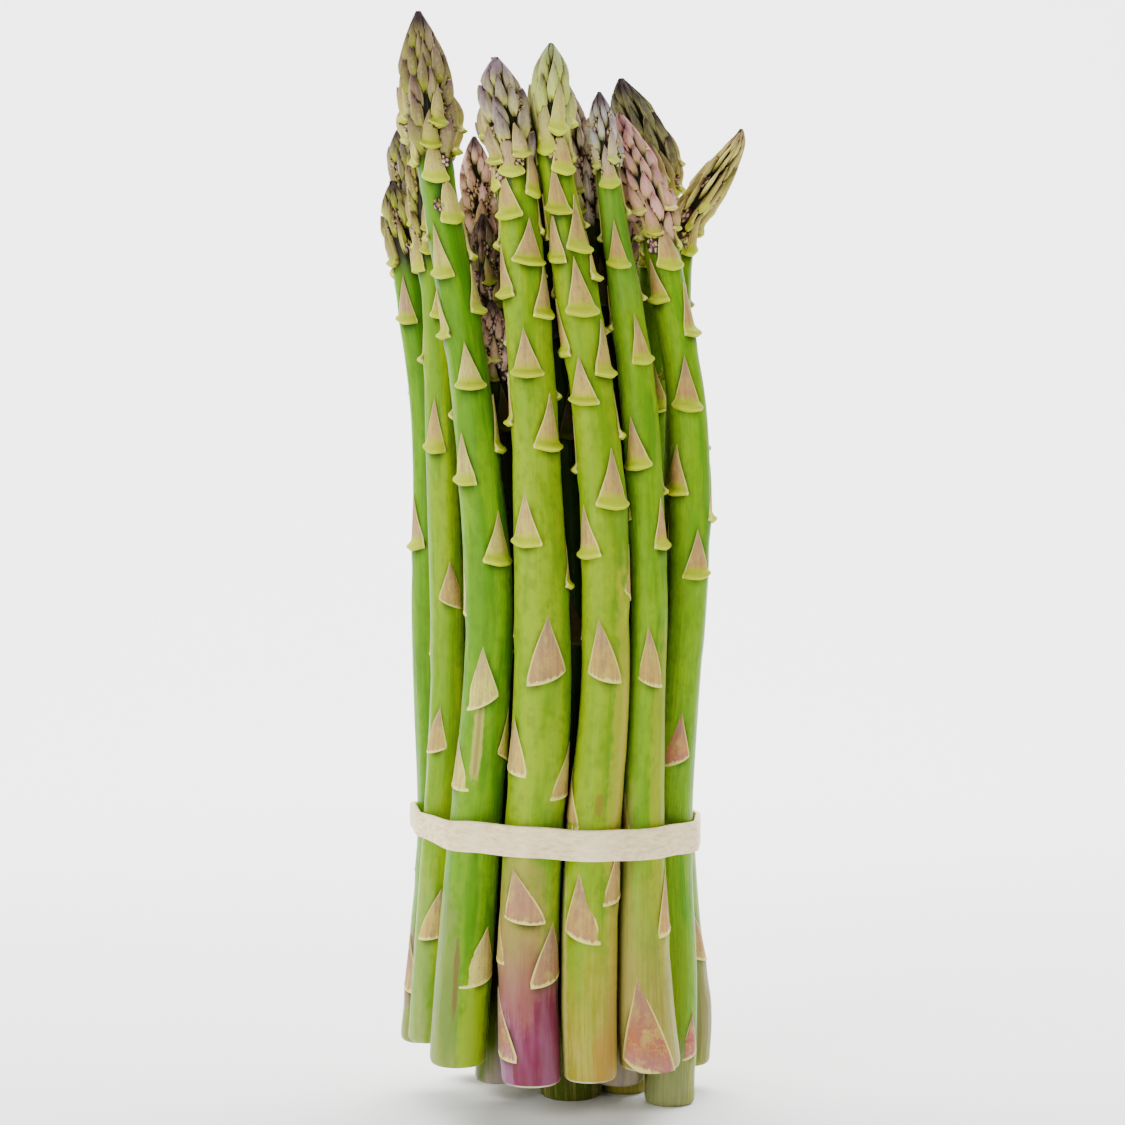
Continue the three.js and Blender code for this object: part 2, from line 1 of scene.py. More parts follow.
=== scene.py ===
# %% [markdown]
# # A bundle of asparagus
#
# Twenty spears stand on their cut ends, held together low down by one flat rubber band.
# A spear grows as one piece. Its stem is a smooth tube, and leaves shrunk to scales climb it in a
# spiral, far apart at the foot and crowded into a pointed bud at the top. So each spear is made
# here the way it grows: a line for the stem, a spiral of seats for the scales, and a few scale
# shapes that are wrapped round the line by one Geometry Nodes tree.
#
# Lengths in the tables are millimetres, and `MM` turns them into the scene's metres.

# %% Set up
import math

import bpy
import numpy as np
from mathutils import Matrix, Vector
from mathutils.bvhtree import BVHTree


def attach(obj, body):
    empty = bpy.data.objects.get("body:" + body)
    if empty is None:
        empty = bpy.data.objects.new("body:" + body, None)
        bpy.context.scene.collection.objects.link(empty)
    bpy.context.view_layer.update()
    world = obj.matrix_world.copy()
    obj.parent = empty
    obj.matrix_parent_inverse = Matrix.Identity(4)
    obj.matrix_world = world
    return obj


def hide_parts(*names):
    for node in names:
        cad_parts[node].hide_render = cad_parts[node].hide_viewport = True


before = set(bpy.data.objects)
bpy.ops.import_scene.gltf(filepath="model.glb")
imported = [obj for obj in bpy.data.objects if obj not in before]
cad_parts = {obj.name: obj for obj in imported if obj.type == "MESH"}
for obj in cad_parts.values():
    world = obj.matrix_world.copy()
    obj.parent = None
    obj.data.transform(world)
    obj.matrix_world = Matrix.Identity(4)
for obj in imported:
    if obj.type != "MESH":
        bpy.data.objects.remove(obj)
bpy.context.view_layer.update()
MM = 0.001
SEED = 4711
print("nodes in the frame:", len(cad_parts))

# %% [markdown]
# ## The driving sizes
#
# A bunched spear is about nine inches long. Everything else follows from its stem: how far a scale
# stands off it, how wide the scale is, and how much air is left to the next spear.

# %% Driving sizes
BUNDLE_TOP = 228           # highest level worked on, just above the tallest tip
LEVEL_STEP = 6             # spacing of the levels at which the spears are packed
SPEAR_GAP = 0.4            # air left between neighbouring stems
CLEARANCE = 0.16           # air left between the scales of neighbouring spears
LEAF_WIDTH = 0.74          # width of a scale leaf, as a share of the stem's diameter
LEAF_LENGTH = 10.8         # height of a scale leaf
GOLDEN_STEP = 137.5        # turn from one scale to the next, in degrees
TIP_CORE = 0.68            # the bud inside a tip, as a share of its outline
BAND_WIDTH = 6.3           # a quarter-inch flat band
BAND_THICKNESS = 1.1
BAND_HEIGHT = 56.5         # middle of the band above the ground
BAND_ROLL = -0.043         # the band rides higher on the left
BAND_GAP = 0.4             # air between the band and the stems
print("levels packed up to", BUNDLE_TOP, "mm, band", BAND_WIDTH, "mm wide at", BAND_HEIGHT, "mm")

# %% [markdown]
# ## The spears
#
# Each row of `line` is (height, x, y, diameter) up the stem, and `apex` ends the tip. `tip` is the
# tip's width, and a `slim` under 1 makes it narrow early. `leaves` holds (height, turn) of the scale
# leaves on the show side, a turn of 0 facing the front. `hand` is the way the spiral climbs, and
# `hold` says how firmly the spear keeps its place in the packing. A table fits a bundle better than
# a random scatter, because each spear at the front has its own bend. These are the same lines as in
# the solid model, so the two agree.

# %% Spears at the front
SPEARS = [
    dict(name="spear_left_tall", slot="green_skin", hand=1, hold=0.7, tip=12, slim=0.8,
         apex=(221.2, -28, -21),
         line=[(10.7, -20.7, -20.5, 11.4), (28, -19.5, -19, 11.4), (54, -17.4, -16.8, 10.9),
               (84, -14.8, -17.2, 9.6), (104, -14.1, -17.6, 9.5), (124, -15.5, -18, 9.1),
               (144, -17.4, -18.6, 8.2), (164, -20.1, -19.2, 8), (184, -23.6, -19.8, 7),
               (194, -25, -20.1, 7.6)],
         leaves=[(28, 38), (67, -60), (84, -8), (112, 32), (128, -48), (147, 2), (162, 68),
                 (169, -36), (180, 34), (188, -4)]),
    dict(name="spear_front_thick", slot="bright_skin", hand=-1, hold=0.9, tip=10.8,
         apex=(212, -12.8, -24),
         line=[(7.6, -5.6, -24, 12), (28, -6.3, -22.8, 12), (54, -5.3, -21.2, 11.9),
               (84, -3.6, -21.3, 11.6), (104, -3.6, -21.6, 11), (124, -4.4, -22, 9.9),
               (144, -5.3, -22.4, 9.1), (164, -6.8, -22.8, 9.1), (184, -8.4, -23.2, 7.7),
               (192, -9.3, -23.4, 7.7)],
         leaves=[(14, -74), (29, 48), (41, -12), (66, 69), (71, -65), (89.5, 10), (116, -34),
                 (135, 36), (149.5, -10), (161, 58), (165, -62), (171.5, 18), (180.5, -30),
                 (185, 62), (189, -8)]),
    dict(name="spear_front_pale", slot="bright_skin", hand=-1, hold=0.9, tip=9.2, apex=(214.9, -1.8, -22),
         line=[(8.2, 5.9, -23.4, 10.8), (28, 5.7, -22.2, 11.3), (54, 6.3, -20.9, 11.1),
               (84, 8.8, -21, 9.8), (104, 9, -21.2, 9.4), (124, 8.6, -21.5, 9.4),
               (144, 6.6, -21.6, 8.6), (164, 3.6, -21.7, 8.8), (184, 0.2, -21.8, 6.8),
               (196, -1.6, -21.9, 6.8)],
         leaves=[(37.5, -18), (45, 66), (89.5, -2), (113.5, -49), (123.5, 26), (144, -28),
                 (149.5, 54), (161.5, 8), (172, -49), (174, 36), (181.5, -15), (189.5, 29),
                 (193.5, -27)]),
    dict(name="spear_front_teal", slot="teal_skin", hand=-1, hold=0.8, tip=6.4, apex=(205.8, 7.7, -16),
         line=[(10, 18.3, -20.2, 12.4), (24, 17.1, -19.2, 11.5), (54, 16.7, -17.2, 8.9),
               (84, 17.3, -17, 7.6), (104, 17.9, -17, 7.4), (124, 17.1, -17, 7.4),
               (144, 15.7, -16.8, 7.4), (164, 13.1, -16.6, 6.5), (184, 10.2, -16.4, 5),
               (191, 9.4, -16.3, 5)],
         leaves=[(10.6, -3), (38, 72), (88, 12), (115, 55), (131, -19), (152, 31), (171, -8), (187, 5)]),
    dict(name="spear_right_long", slot="bright_skin", hand=-1, hold=0.8, tip=10.2, apex=(202, 11.6, -11),
         line=[(0, 22, -10.2, 10.4), (24, 22.8, -9.4, 10.2), (54, 22.3, -8.6, 9.2),
               (84, 24.3, -8.9, 8.1), (104, 25.9, -9.2, 8), (124, 26.3, -9.5, 8.5),
               (144, 25.7, -9.8, 7.8), (164, 22.4, -10.1, 7.3), (178, 19.6, -10.3, 7)],
         leaves=[(10.5, 47), (71, 2), (108.5, 26), (125.5, -48), (142.5, -3), (157.5, 60),
                 (164, -44), (171, 18), (177.5, -24)]),
]
print("at the front:", [s["name"] for s in SPEARS])

# %% [markdown]
# ## Spears at the sides
#
# The side spears are thinner and lean outwards above the band, so the bundle opens like a fan. They
# show only one edge, so fewer of their leaves are known.

# %% Spears at the sides
SPEARS += [
    dict(name="spear_left_middle", slot="green_skin", hand=1, hold=0.7, tip=6.6, apex=(197, -29.4, -9.5),
         line=[(12.9, -27, -9.6, 8.6), (30, -25.9, -8.7, 8.6), (54, -24.4, -7.6, 8),
               (84, -22.9, -7.7, 7.4), (104, -22.9, -7.8, 7.2), (124, -23.5, -8, 6.8),
               (144, -24.1, -8.2, 6.6), (164, -24.9, -8.6, 6.2), (175, -26.4, -8.9, 6)],
         leaves=[(35, -7), (73, -40), (103, 15), (134, -31), (161, 20)]),
    dict(name="spear_left_edge", slot="green_skin", hand=1, hold=0.7, tip=7.4, apex=(189, -34.6, 2),
         line=[(10.5, -29, 1.2, 8.8), (30, -27.2, 1.6, 8.8), (54, -25.4, 2, 8.8),
               (84, -26.4, 2, 8.2), (104, -26.8, 2, 8), (124, -26.5, 2, 7.8), (144, -27.4, 2, 7.4),
               (164, -30.2, 2, 6.8), (172, -31.2, 2, 6.4)],
         leaves=[(22, -60), (60, 20), (113.5, -58), (160, -30)]),
    dict(name="spear_right_leaning", slot="bright_skin", hand=1, hold=0.5, tip=7.8,
         apex=(199.5, 37.6, 1.5),
         line=[(5.2, 27, 3, 8.8), (17, 27.4, 2.8, 8.8), (34, 25, 2.2, 8.8), (54, 23.6, 1.6, 8.6),
               (84, 22.4, 1.2, 8.2), (104, 23, 0.5, 7.8), (124, 24.4, 0, 7), (144, 24.8, -1, 6.2),
               (160, 24.2, -1.3, 5.2), (172, 24.8, -0.8, 4.8), (179, 25.6, -0.3, 5.2)],
         leaves=[(28, 60), (62, 10), (100, 80), (130, 30), (158, 25), (174, 40)]),
    dict(name="spear_left_behind", slot="green_skin", hand=-1, hold=0.3, tip=8, apex=(200.7, -33, 8),
         line=[(4.2, -15.2, 13, 10), (54, -17.4, 12.2, 9.6), (104, -18.5, 11.5, 9),
               (144, -21.5, 10, 8), (170, -26.5, 8.5, 7), (185, -30.3, 8, 6.6)],
         leaves=[(18, 120)]),
    dict(name="spear_right_behind", slot="teal_skin", hand=1, hold=0.4, tip=12, apex=(210.3, 12.6, 8),
         line=[(0, 14.6, 8.6, 9.8), (54, 16.2, 11.6, 9.4), (104, 18, 11, 9), (144, 19.5, 10, 8.4),
               (175, 20, 9, 7.6), (188, 20.8, 8.4, 7.6)],
         leaves=[(12, 20)]),
]
print("with the sides:", len(SPEARS))

# %% [markdown]
# ## Spears inside and behind
#
# A round bundle of these widths holds ten more. They fill the heart and the back, where a bundle
# with only a front row would look hollow from the side. Their leaves all follow the spiral.

# %% Spears inside and behind
SPEARS += [
    dict(name="spear_inner_short", slot="olive_skin", hand=1, hold=0.5, tip=6.6,
         apex=(164.5, -13.8, -12.6),
         line=[(4.8, -12.8, -10.6, 9.8), (54, -11.4, -9, 9.8), (104, -10.6, -10, 8.6),
               (136, -12, -11.4, 7.2), (149, -12.9, -12.2, 6.2)],
         leaves=[(84, 0)]),
    dict(name="spear_inner_front", slot="green_skin", hand=-1, hold=0.85, tip=8, apex=(204, -4.8, -14.6),
         line=[(0, 2.6, -3, 13), (28, 1.6, -5.6, 11), (54, 0.4, -10, 10.2), (104, 2.4, -12, 9.2),
               (144, 0, -13, 8.2), (180, -4.2, -14, 7.2), (189, -5, -14.4, 7)],
         leaves=[(96, 0)]),
    dict(name="spear_inner_right", slot="olive_skin", hand=1, hold=0.2, tip=7.8, apex=(208, 1.4, -10),
         line=[(4.2, 12.4, -8.4, 9.8), (54, 11.6, -8.8, 9.6), (104, 13, -10, 8.6),
               (144, 11, -11, 7.8), (170, 8, -11, 7.2), (181, 6.4, -11, 7.2)],
         leaves=[(110, 0)]),
    dict(name="spear_inner_left", slot="olive_skin", hand=-1, hold=0.2, tip=7.4, apex=(182, -15.8, -4),
         line=[(5, -12.6, 1.8, 10), (54, -13.4, 2.2, 9.8), (104, -12.6, 0.5, 8.8),
               (144, -13, -2, 7.8), (164, -14.8, -3.5, 6.8)],
         leaves=[(100, 10)]),
    dict(name="spear_centre", slot="green_skin", hand=1, hold=0.2, tip=8.2, apex=(199, -9.5, -2.5),
         line=[(0, -2, 9, 10.4), (54, -1.6, 1.2, 10.2), (104, -2, 0, 9.2), (150, -4, -1, 8.2),
               (178, -7.6, -2, 7.2)],
         leaves=[(104, 30)]),
    dict(name="spear_inner_dark", slot="olive_skin", hand=-1, hold=0.2, tip=7.4, apex=(185, 6.8, -5),
         line=[(0, 9.6, 2, 9.8), (54, 10.2, 2.2, 9.6), (104, 9.6, 0, 8.8), (144, 8.8, -3, 7.8),
               (167, 8, -4.5, 6.8)],
         leaves=[(108, -20)]),
    dict(name="spear_back_left", slot="green_skin", hand=1, hold=0.3, tip=8, apex=(198, -17.6, 1.5),
         line=[(1, -6.4, 12.4, 10), (54, -6.8, 12.4, 9.8), (104, -8, 10, 8.8), (144, -11.5, 6, 8),
               (172, -15, 3, 7.2), (178, -15.8, 2.6, 7)],
         leaves=[(112, 180)]),
    dict(name="spear_back_middle", slot="olive_skin", hand=-1, hold=0.3, tip=8, apex=(190, 14, 3),
         line=[(0, 4.4, 12.6, 10), (54, 4.8, 12.4, 9.8), (104, 6, 10.5, 9), (144, 9, 8, 8),
               (170, 12, 5, 7.2)],
         leaves=[(100, 170)]),
    dict(name="spear_rear_left", slot="bright_skin", hand=1, hold=0.4, tip=9.2, apex=(200, -9.6, 20),
         line=[(0, -4.6, 22.4, 10.4), (54, -3.9, 21.6, 10.2), (104, -4.4, 22.2, 9.4),
               (150, -6.6, 22, 8.2), (177, -8.6, 21.4, 7.2)],
         leaves=[(16, 170)]),
    dict(name="spear_rear_right", slot="green_skin", hand=-1, hold=0.4, tip=9, apex=(195, 10.8, 20.6),
         line=[(0, 8.8, 22, 10.2), (54, 8, 21.6, 10), (104, 9.4, 22.4, 9.2), (150, 11.2, 22.6, 8.2),
               (172, 12.4, 22.2, 7.2)],
         leaves=[(20, 190)]),
]
print("spears:", len(SPEARS), "tallest tip at", max(s["apex"][0] for s in SPEARS), "mm")

# %% [markdown]
# ## A smooth line through a table
#
# `along` reads a smooth curve through a table's rows. A stem could be a spline object instead, but
# the packing below asks for hundreds of heights, and a small function answers them fast.

# %% Smooth lines


def along(rows, at):
    """The values of a smooth curve through rows of (at, value, value, ...) at one place."""
    last = len(rows) - 1
    k = 0
    while k < last - 1 and at > rows[k + 1][0]:
        k += 1
    a, b = rows[k], rows[k + 1]
    before, after = rows[max(k - 1, 0)], rows[min(k + 2, last)]
    span = b[0] - a[0]
    t = min(max((at - a[0]) / span, 0), 1)
    values = []
    for c in range(1, len(a)):
        slope_a = (b[c] - before[c]) / (b[0] - before[0]) * span
        slope_b = (after[c] - a[c]) / (after[0] - a[0]) * span
        values.append((2 * t**3 - 3 * t**2 + 1) * a[c] + (t**3 - 2 * t**2 + t) * slope_a
                      + (3 * t**2 - 2 * t**3) * b[c] + (t**3 - t**2) * slope_b)
    return values


tallest = SPEARS[0]
print(tallest["name"], "is", round(along(tallest["line"], 100)[2], 1), "mm wide at a height of 100 mm")

# %% [markdown]
# ## The outline of a spear
#
# A spear is as wide as its stem up to the shoulder. From there the tip's outline swells a little
# and then closes to a point. The scales of the tip stand on a thinner bud inside that outline.

# %% Outline of a spear
TIP_SWELL = 0.12           # share of the tip over which it swells from the stem's width
CORE_EASE = 8              # millimetres over which the stem narrows to the bud inside
TIP_OUTLINE = [(0, 0.66), (0.12, 0.9), (0.28, 1), (0.5, 0.9), (0.7, 0.68), (0.86, 0.4), (1, 0.07)]


def foot(spear):
    return spear["line"][0][0]


def shoulder(spear):
    return spear["line"][-1][0]


def outline_radius(spear, z):
    """Half the width a spear takes up at a height: its stem, then its tip."""
    if z <= shoulder(spear):
        return along(spear["line"], max(z, foot(spear)))[2] / 2
    u = min((z - shoulder(spear)) / (spear["apex"][0] - shoulder(spear)), 1)
    start = spear["line"][-1][3] / 2
    tip = along(TIP_OUTLINE, u ** spear.get("slim", 1))[0] * spear["tip"] / 2
    return start + (tip - start) * min(u / TIP_SWELL, 1)


def core_radius(spear, z):
    """The bud inside the tip's scales; on the stem it is the stem itself."""
    share = (z - shoulder(spear) + CORE_EASE / 2) / CORE_EASE
    return outline_radius(spear, z) * (1 - (1 - TIP_CORE) * min(max(share, 0), 1))


for s in SPEARS[:3]:
    print(s["name"], "tip", round(s["apex"][0] - shoulder(s), 1), "mm long")

# %% [markdown]
# ## Pushing and smoothing
#
# Drawn lines would run through each other here and there, as stiff stems in a hand cannot. At every
# level two spears that are too close are pushed apart, the loosely held one more than the firm one.
# Between pushes each line is smoothed and drawn back a little to where it was set.

# %% Pushing and smoothing
LEVELS = round(BUNDLE_TOP / LEVEL_STEP) + 1
DRAW_BACK = 0.02           # share of its way that a firmly held line goes back each time


def push_apart(spears, k):
    here = [s for s in spears if s["room"][k] > 0]
    for i, a in enumerate(here):
        for b in here[i + 1:]:
            pa, pb = a["packed"][k], b["packed"][k]
            dx, dy = pb[0] - pa[0], pb[1] - pa[1]
            want = a["room"][k] + b["room"][k] + SPEAR_GAP
            if dx * dx + dy * dy >= want * want:
                continue
            apart = math.hypot(dx, dy)
            ease_a, ease_b = 1 - a["hold"], 1 - b["hold"]
            push = (want - apart) / apart / (ease_a + ease_b)
            pa[0] -= dx * push * ease_a
            pa[1] -= dy * push * ease_a
            pb[0] += dx * push * ease_b
            pb[1] += dy * push * ease_b


def relax_line(spear):
    for c in (0, 1):
        off = [p[c] - d[c] for p, d in zip(spear["packed"], spear["drawn"])]
        for k in range(LEVELS):
            beside = off[max(k - 1, 0)] + off[min(k + 1, LEVELS - 1)]
            smooth = 0.5 * off[k] + 0.25 * beside
            spear["packed"][k][c] = spear["drawn"][k][c] + smooth * (1 - DRAW_BACK * spear["hold"])


print("levels:", LEVELS)

# %% [markdown]
# ## Packing the bundle
#
# The pushing is done many times over, because one push can close another gap. The last rounds are
# without smoothing, so that no overlap is left. The solid model does the same steps in the same
# order, so both end with the same bundle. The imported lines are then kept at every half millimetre.

# %% Packing
PUSHES = 420               # times the spears are pushed apart
RELAXED = 330              # of those, the first ones with the lines smoothed in between
TIP_ROOM = 0.86            # a tip gives way a little
LEAST_ROOM = 1.2


def drawn_centre(spear, z):
    rows = [row[:3] for row in spear["line"]] + [spear["apex"]]
    return along(rows, min(max(z, foot(spear)), spear["apex"][0]))


def pack_bundle(spears):
    for s in spears:
        s["drawn"] = [drawn_centre(s, k * LEVEL_STEP) for k in range(LEVELS)]
        s["packed"] = [list(p) for p in s["drawn"]]
        s["room"] = []
        for k in range(LEVELS):
            z = k * LEVEL_STEP
            here = foot(s) - LEVEL_STEP < z < s["apex"][0] + 1
            share = TIP_ROOM if z > shoulder(s) else 1
            height = min(max(z, foot(s)), s["apex"][0])
            s["room"].append(max(outline_radius(s, height) * share, LEAST_ROOM) if here else 0)
    for turn in range(PUSHES):
        for k in range(LEVELS):
            push_apart(spears, k)
        if turn < RELAXED:
            for s in spears:
                relax_line(s)


def centre(spear, z):
    k = int(z // LEVEL_STEP)
    near = range(max(k - 1, 0), min(k + 2, LEVELS - 1) + 1)
    return along([(n * LEVEL_STEP, *spear["packed"][n]) for n in near], z)


pack_bundle(SPEARS)
FINE = np.arange(0, BUNDLE_TOP - LEVEL_STEP + 0.01, 0.5)
for s in SPEARS:
    heights = np.clip(FINE, foot(s), s["apex"][0])
    s["centre_x"], s["centre_y"] = np.array([centre(s, z) for z in heights]).T
    s["outline"] = np.array([outline_radius(s, z) for z in heights])
moved = [math.hypot(p[0] - d[0], p[1] - d[1]) for s in SPEARS for p, d in zip(s["packed"], s["drawn"])]
print("the packing moved the spears up to", round(max(moved), 1), "mm")

# %% [markdown]
# ## Keeping clear of the neighbours
#
# A scale that stands off its stem could poke into the next spear. Between two stems runs a plane
# that belongs to neither, and any point past it is brought back to it. Under the band a scale is
# pressed flat. It is done for all the points of a spear together, after it has been grown.

# %% Keeping clear
PASSES = 3                 # clearing one neighbour can push a scale into the next
BELOW_FOOT, ABOVE_APEX = 3, 2  # how far past its ends a spear counts
UNDER_BAND = BAND_WIDTH / 2 + 1


def band_level(x):
    return BAND_HEIGHT + BAND_ROLL * x


def line_at(spear, z):
    """A packed spear's x, y and half width at one height, or at an array of heights."""
    return [np.interp(z, FINE, spear[key]) for key in ("centre_x", "centre_y", "outline")]


def keep_clear(spear, points):
    """points: an array of x, y, z in millimetres. Returns them moved out of the neighbours' room."""
    p = points.copy()
    z = np.clip(p[:, 2], foot(spear), spear["apex"][0])
    cx, cy, own = line_at(spear, z)
    for _ in range(PASSES):
        for other in SPEARS:
            if other is spear:
                continue
            x, y, theirs = line_at(other, z)
            ox, oy = x - cx, y - cy
            apart = np.hypot(ox, oy)
            limit = (apart**2 + own**2 - theirs**2) / (2 * apart) - CLEARANCE / 2
            over = ((p[:, 0] - cx) * ox + (p[:, 1] - cy) * oy) / apart - limit
            over[(z < foot(other) - BELOW_FOOT) | (z > other["apex"][0] + ABOVE_APEX)] = 0
            over = np.maximum(over, 0)
            p[:, 0] -= ox / apart * over
            p[:, 1] -= oy / apart * over
    reach = np.hypot(p[:, 0] - cx, p[:, 1] - cy)
    under = np.abs(p[:, 2] - band_level(p[:, 0])) < UNDER_BAND
    shrink = np.where(under, np.minimum(1, (own + 0.1) / np.maximum(reach, 1e-6)), 1)
    p[:, 0] = cx + (p[:, 0] - cx) * shrink
    p[:, 1] = cy + (p[:, 1] - cy) * shrink
    return p


print("the band climbs to the left by", round(band_level(-30) - band_level(30), 1), "mm")

# %% [markdown]
# ## Where the scales sit
#
# The show-side leaves are known, and the hidden ones climb round the back by the golden step, the
# turn of 137.5 degrees that keeps leaves out of each other's light. Between two known leaves the
# step is bent a little, so that the spiral meets both. In the tip it goes on, only much closer.

# %% Seats on the spiral
CROWDED, CROWD_COST = 3, 40  # closer than this in height is avoided
LEAST_RISE, MORE_RISE = 4.2, 10  # from one scale to the next, near and far


def wrap_turn(turn):
    return (turn % 360 + 540) % 360 - 180


def fill_between(a, b, hand):
    best, least = 1, 1e9
    for n in (1, 2, 3):
        miss = abs(wrap_turn(b[1] - a[1] - hand * GOLDEN_STEP * n)) / n
        crowd = CROWD_COST if (b[0] - a[0]) / n < CROWDED else 0
        if miss + crowd < least:
            best, least = n, miss + crowd
    drift = wrap_turn(b[1] - a[1] - hand * GOLDEN_STEP * best) / best
    return [(a[0] + (b[0] - a[0]) * n / best, wrap_turn(a[1] + (hand * GOLDEN_STEP + drift) * n))
            for n in range(1, best)]


def leaves_of(spear):
    known = spear["leaves"]
    seats = []
    for a, b in zip(known, known[1:]):
        seats += [a, *fill_between(a, b, spear["hand"])]
    seats.append(known[-1])
    top = shoulder(spear)
    z, turn = seats[-1]
    while True:
        z += LEAST_RISE + MORE_RISE * max((top - z) / top, 0)
        turn += spear["hand"] * GOLDEN_STEP
        if z > top - 1:
            return seats
        seats.append((z, wrap_turn(turn)))


print("scale leaves:", {s["name"]: len(leaves_of(s)) for s in SPEARS[:4]})

# %% [markdown]
# ## Small makers used below
#
# A mesh from points and faces, with named attributes, is all the hand-made geometry needs. The
# attributes tell the materials where on a spear a point is, so no image has to be mapped.

# %% Makers
leftovers = [old for old in bpy.data.objects if old.type in {"LIGHT", "CAMERA"}]
for old in leftovers:
    bpy.data.objects.remove(old)


def make_mesh(name, points, faces, **attributes):
    mesh = bpy.data.meshes.new(name)
    mesh.from_pydata([tuple(p) for p in points], [], [tuple(f) for f in faces])
    for key, values in attributes.items():
        values = np.asarray(values, dtype=float)
        kind = "FLOAT_VECTOR" if values.ndim == 2 else "FLOAT"
        layer = mesh.attributes.new(key, kind, "POINT")
        layer.data.foreach_set("vector" if values.ndim == 2 else "value", values.ravel())
    return mesh


def show(name, mesh):
    made = bpy.data.objects.new(name, mesh)
    bpy.context.scene.collection.objects.link(made)
    return made


def smooth_step(x, low, high):
    t = np.clip((x - low) / (high - low), 0, 1)
    return t * t * (3 - 2 * t)


print("lights and cameras cleared away:", len(leftovers))

# %% [markdown]
# ## A closed scale, unrolled
#
# A scale is first made flat: across is its half width, up is its height and out is how far it
# stands off, each running over about one unit. Wrapping does the bending later. Its front is a net
# of rows that meet in a point, and a sunken back closes it, so that it is a solid of its own. It
# could be modelled by hand, but a few rules for width, height and drop give all six shapes.

# %% A closed scale
STEM, LOW_LEAF, HIGH_LEAF, TIP_SCALE, SIDE_BUD = range(5)  # values of the attribute `part`
ROWS_UP = [0, 0.025, 0.055, 0.09, 0.13, 0.18, 0.25, 0.34, 0.45, 0.56, 0.67, 0.78, 0.88, 0.95]
COLUMNS = [-1, -0.92, -0.78, -0.55, -0.28, 0, 0.28, 0.55, 0.78, 0.92, 1]


def shape_mesh(name, part, half_width, height, drop=lambda u, v: 0, skew=0.0, rows=ROWS_UP,
               columns=COLUMNS, sink=-0.7, crease=lambda u, v: abs(u)):
    """A closed flat scale. half_width(v), height(u, v) and drop(u, v) give its outline and relief."""
    wide, apex = len(columns), len(rows) * len(columns)
    front = [(u * half_width(v) + skew * v * v, v - drop(u, v), height(u, v))
             for v in rows for u in columns]
    points = front + [(skew, 1, height(0, 1))]
    rise = [v for v in rows for _ in columns] + [1]
    edge = [crease(u, v) for v in rows for u in columns] + [1]
    faces = [(a, a + 1, a + 1 + wide, a + wide)
             for r in range(len(rows) - 1) for a in range(r * wide, r * wide + wide - 1)]
    faces += [(a, a + 1, apex) for a in range(apex - wide, apex - 1)]
    rim = [*range(wide), *range(2 * wide - 1, apex, wide), apex, *range(apex - wide, 0, -wide)]
    first, count = len(points), len(rim)
    for n in rim:
        x, y, _ = points[n]
        points.append((x * 0.9, 0.05 + (y - 0.05) * 0.93, sink))
        rise.append(rise[n])
        edge.append(1)
    for n in range(count):
        after = (n + 1) % count
        faces.append((rim[n], first + n, first + after, rim[after]))
    faces.append(tuple(reversed(range(first, first + count))))
    return make_mesh(name, points, faces, rise=rise, edge=edge, part=[part] * len(points))


def roll(v, middle, spread):
    """A soft rounded ridge at one height."""
    return math.exp(-(((v - middle) / spread) ** 2))


def profile(*rows):
    """A width that runs through (height, width) pairs."""
    at, wide = zip(*rows)
    return lambda v: float(np.interp(v, at, wide))


print("points in the front of a leaf:", len(ROWS_UP) * len(COLUMNS) + 1)

# %% [markdown]
# ## Leaves of the stem
#
# Low on the stem the leaves are flush triangles with a slanted foot and a thin rolled edge, leaning
# to one side or the other. Higher up each one is a bell with a fleshy lip that stands off like a
# small ledge. Just under the tip they open, with a bulging middle.

# %% Leaves of the stem


def low_leaf(name, hand):
    return shape_mesh(
        name, LOW_LEAF,
        half_width=profile((0, 0.97), (0.09, 0.98), (0.2, 0.88), (0.4, 0.68), (0.6, 0.45), (0.8, 0.21),
                           (1, 0)),
        height=lambda u, v: 0.12 + (0.16 + 0.5 * (1 - v)) * (1 - u * u) + 0.26 * roll(v, 0.02, 0.025),
        drop=lambda u, v: (0.06 - 0.05 * u * u + 0.1 * hand * u) * (1 - v) ** 2,
        skew=-0.22 * hand,
    )


def high_leaf(name):
    return shape_mesh(
        name, HIGH_LEAF,
        half_width=profile((0, 0.95), (0.03, 1), (0.08, 0.97), (0.16, 0.88), (0.27, 0.76), (0.4, 0.6),
                           (0.55, 0.42), (0.7, 0.27), (0.85, 0.13), (1, 0)),
        height=lambda u, v: (0.1 + 0.3 * (1 - v) * (1 - u * u) + 0.14 * v
                             + roll(v, 0.07, 0.06) * (0.85 + 0.35 * (1 - u * u))),
        drop=lambda u, v: 0.05 * (1 - abs(u) ** 1.4) * roll(v, 0, 0.2),
    )


def open_leaf(name):
    def bulge(u, v):
        return 0.75 * (1 - 0.75 * u * u) * math.sin(math.pi * min(0.12 + v * 0.85, 1))

    return shape_mesh(
        name, HIGH_LEAF,
        half_width=profile((0, 0.95), (0.04, 1), (0.12, 0.93), (0.25, 0.8), (0.45, 0.66), (0.65, 0.48),
                           (0.82, 0.26), (1, 0)),
        height=lambda u, v: 0.25 + bulge(u, v) + roll(v, 0.08, 0.07) * 0.6 + 0.25 * v,
        drop=lambda u, v: 0.08 * (1 - abs(u) ** 1.4) * roll(v, 0, 0.25),
    )


leaf_shapes = [low_leaf("0 low leaf", 1), low_leaf("1 low leaf", -1), high_leaf("2 high leaf"),
               open_leaf("3 open leaf")]
print("leaf shapes:", {shape.name: len(shape.polygons) for shape in leaf_shapes})

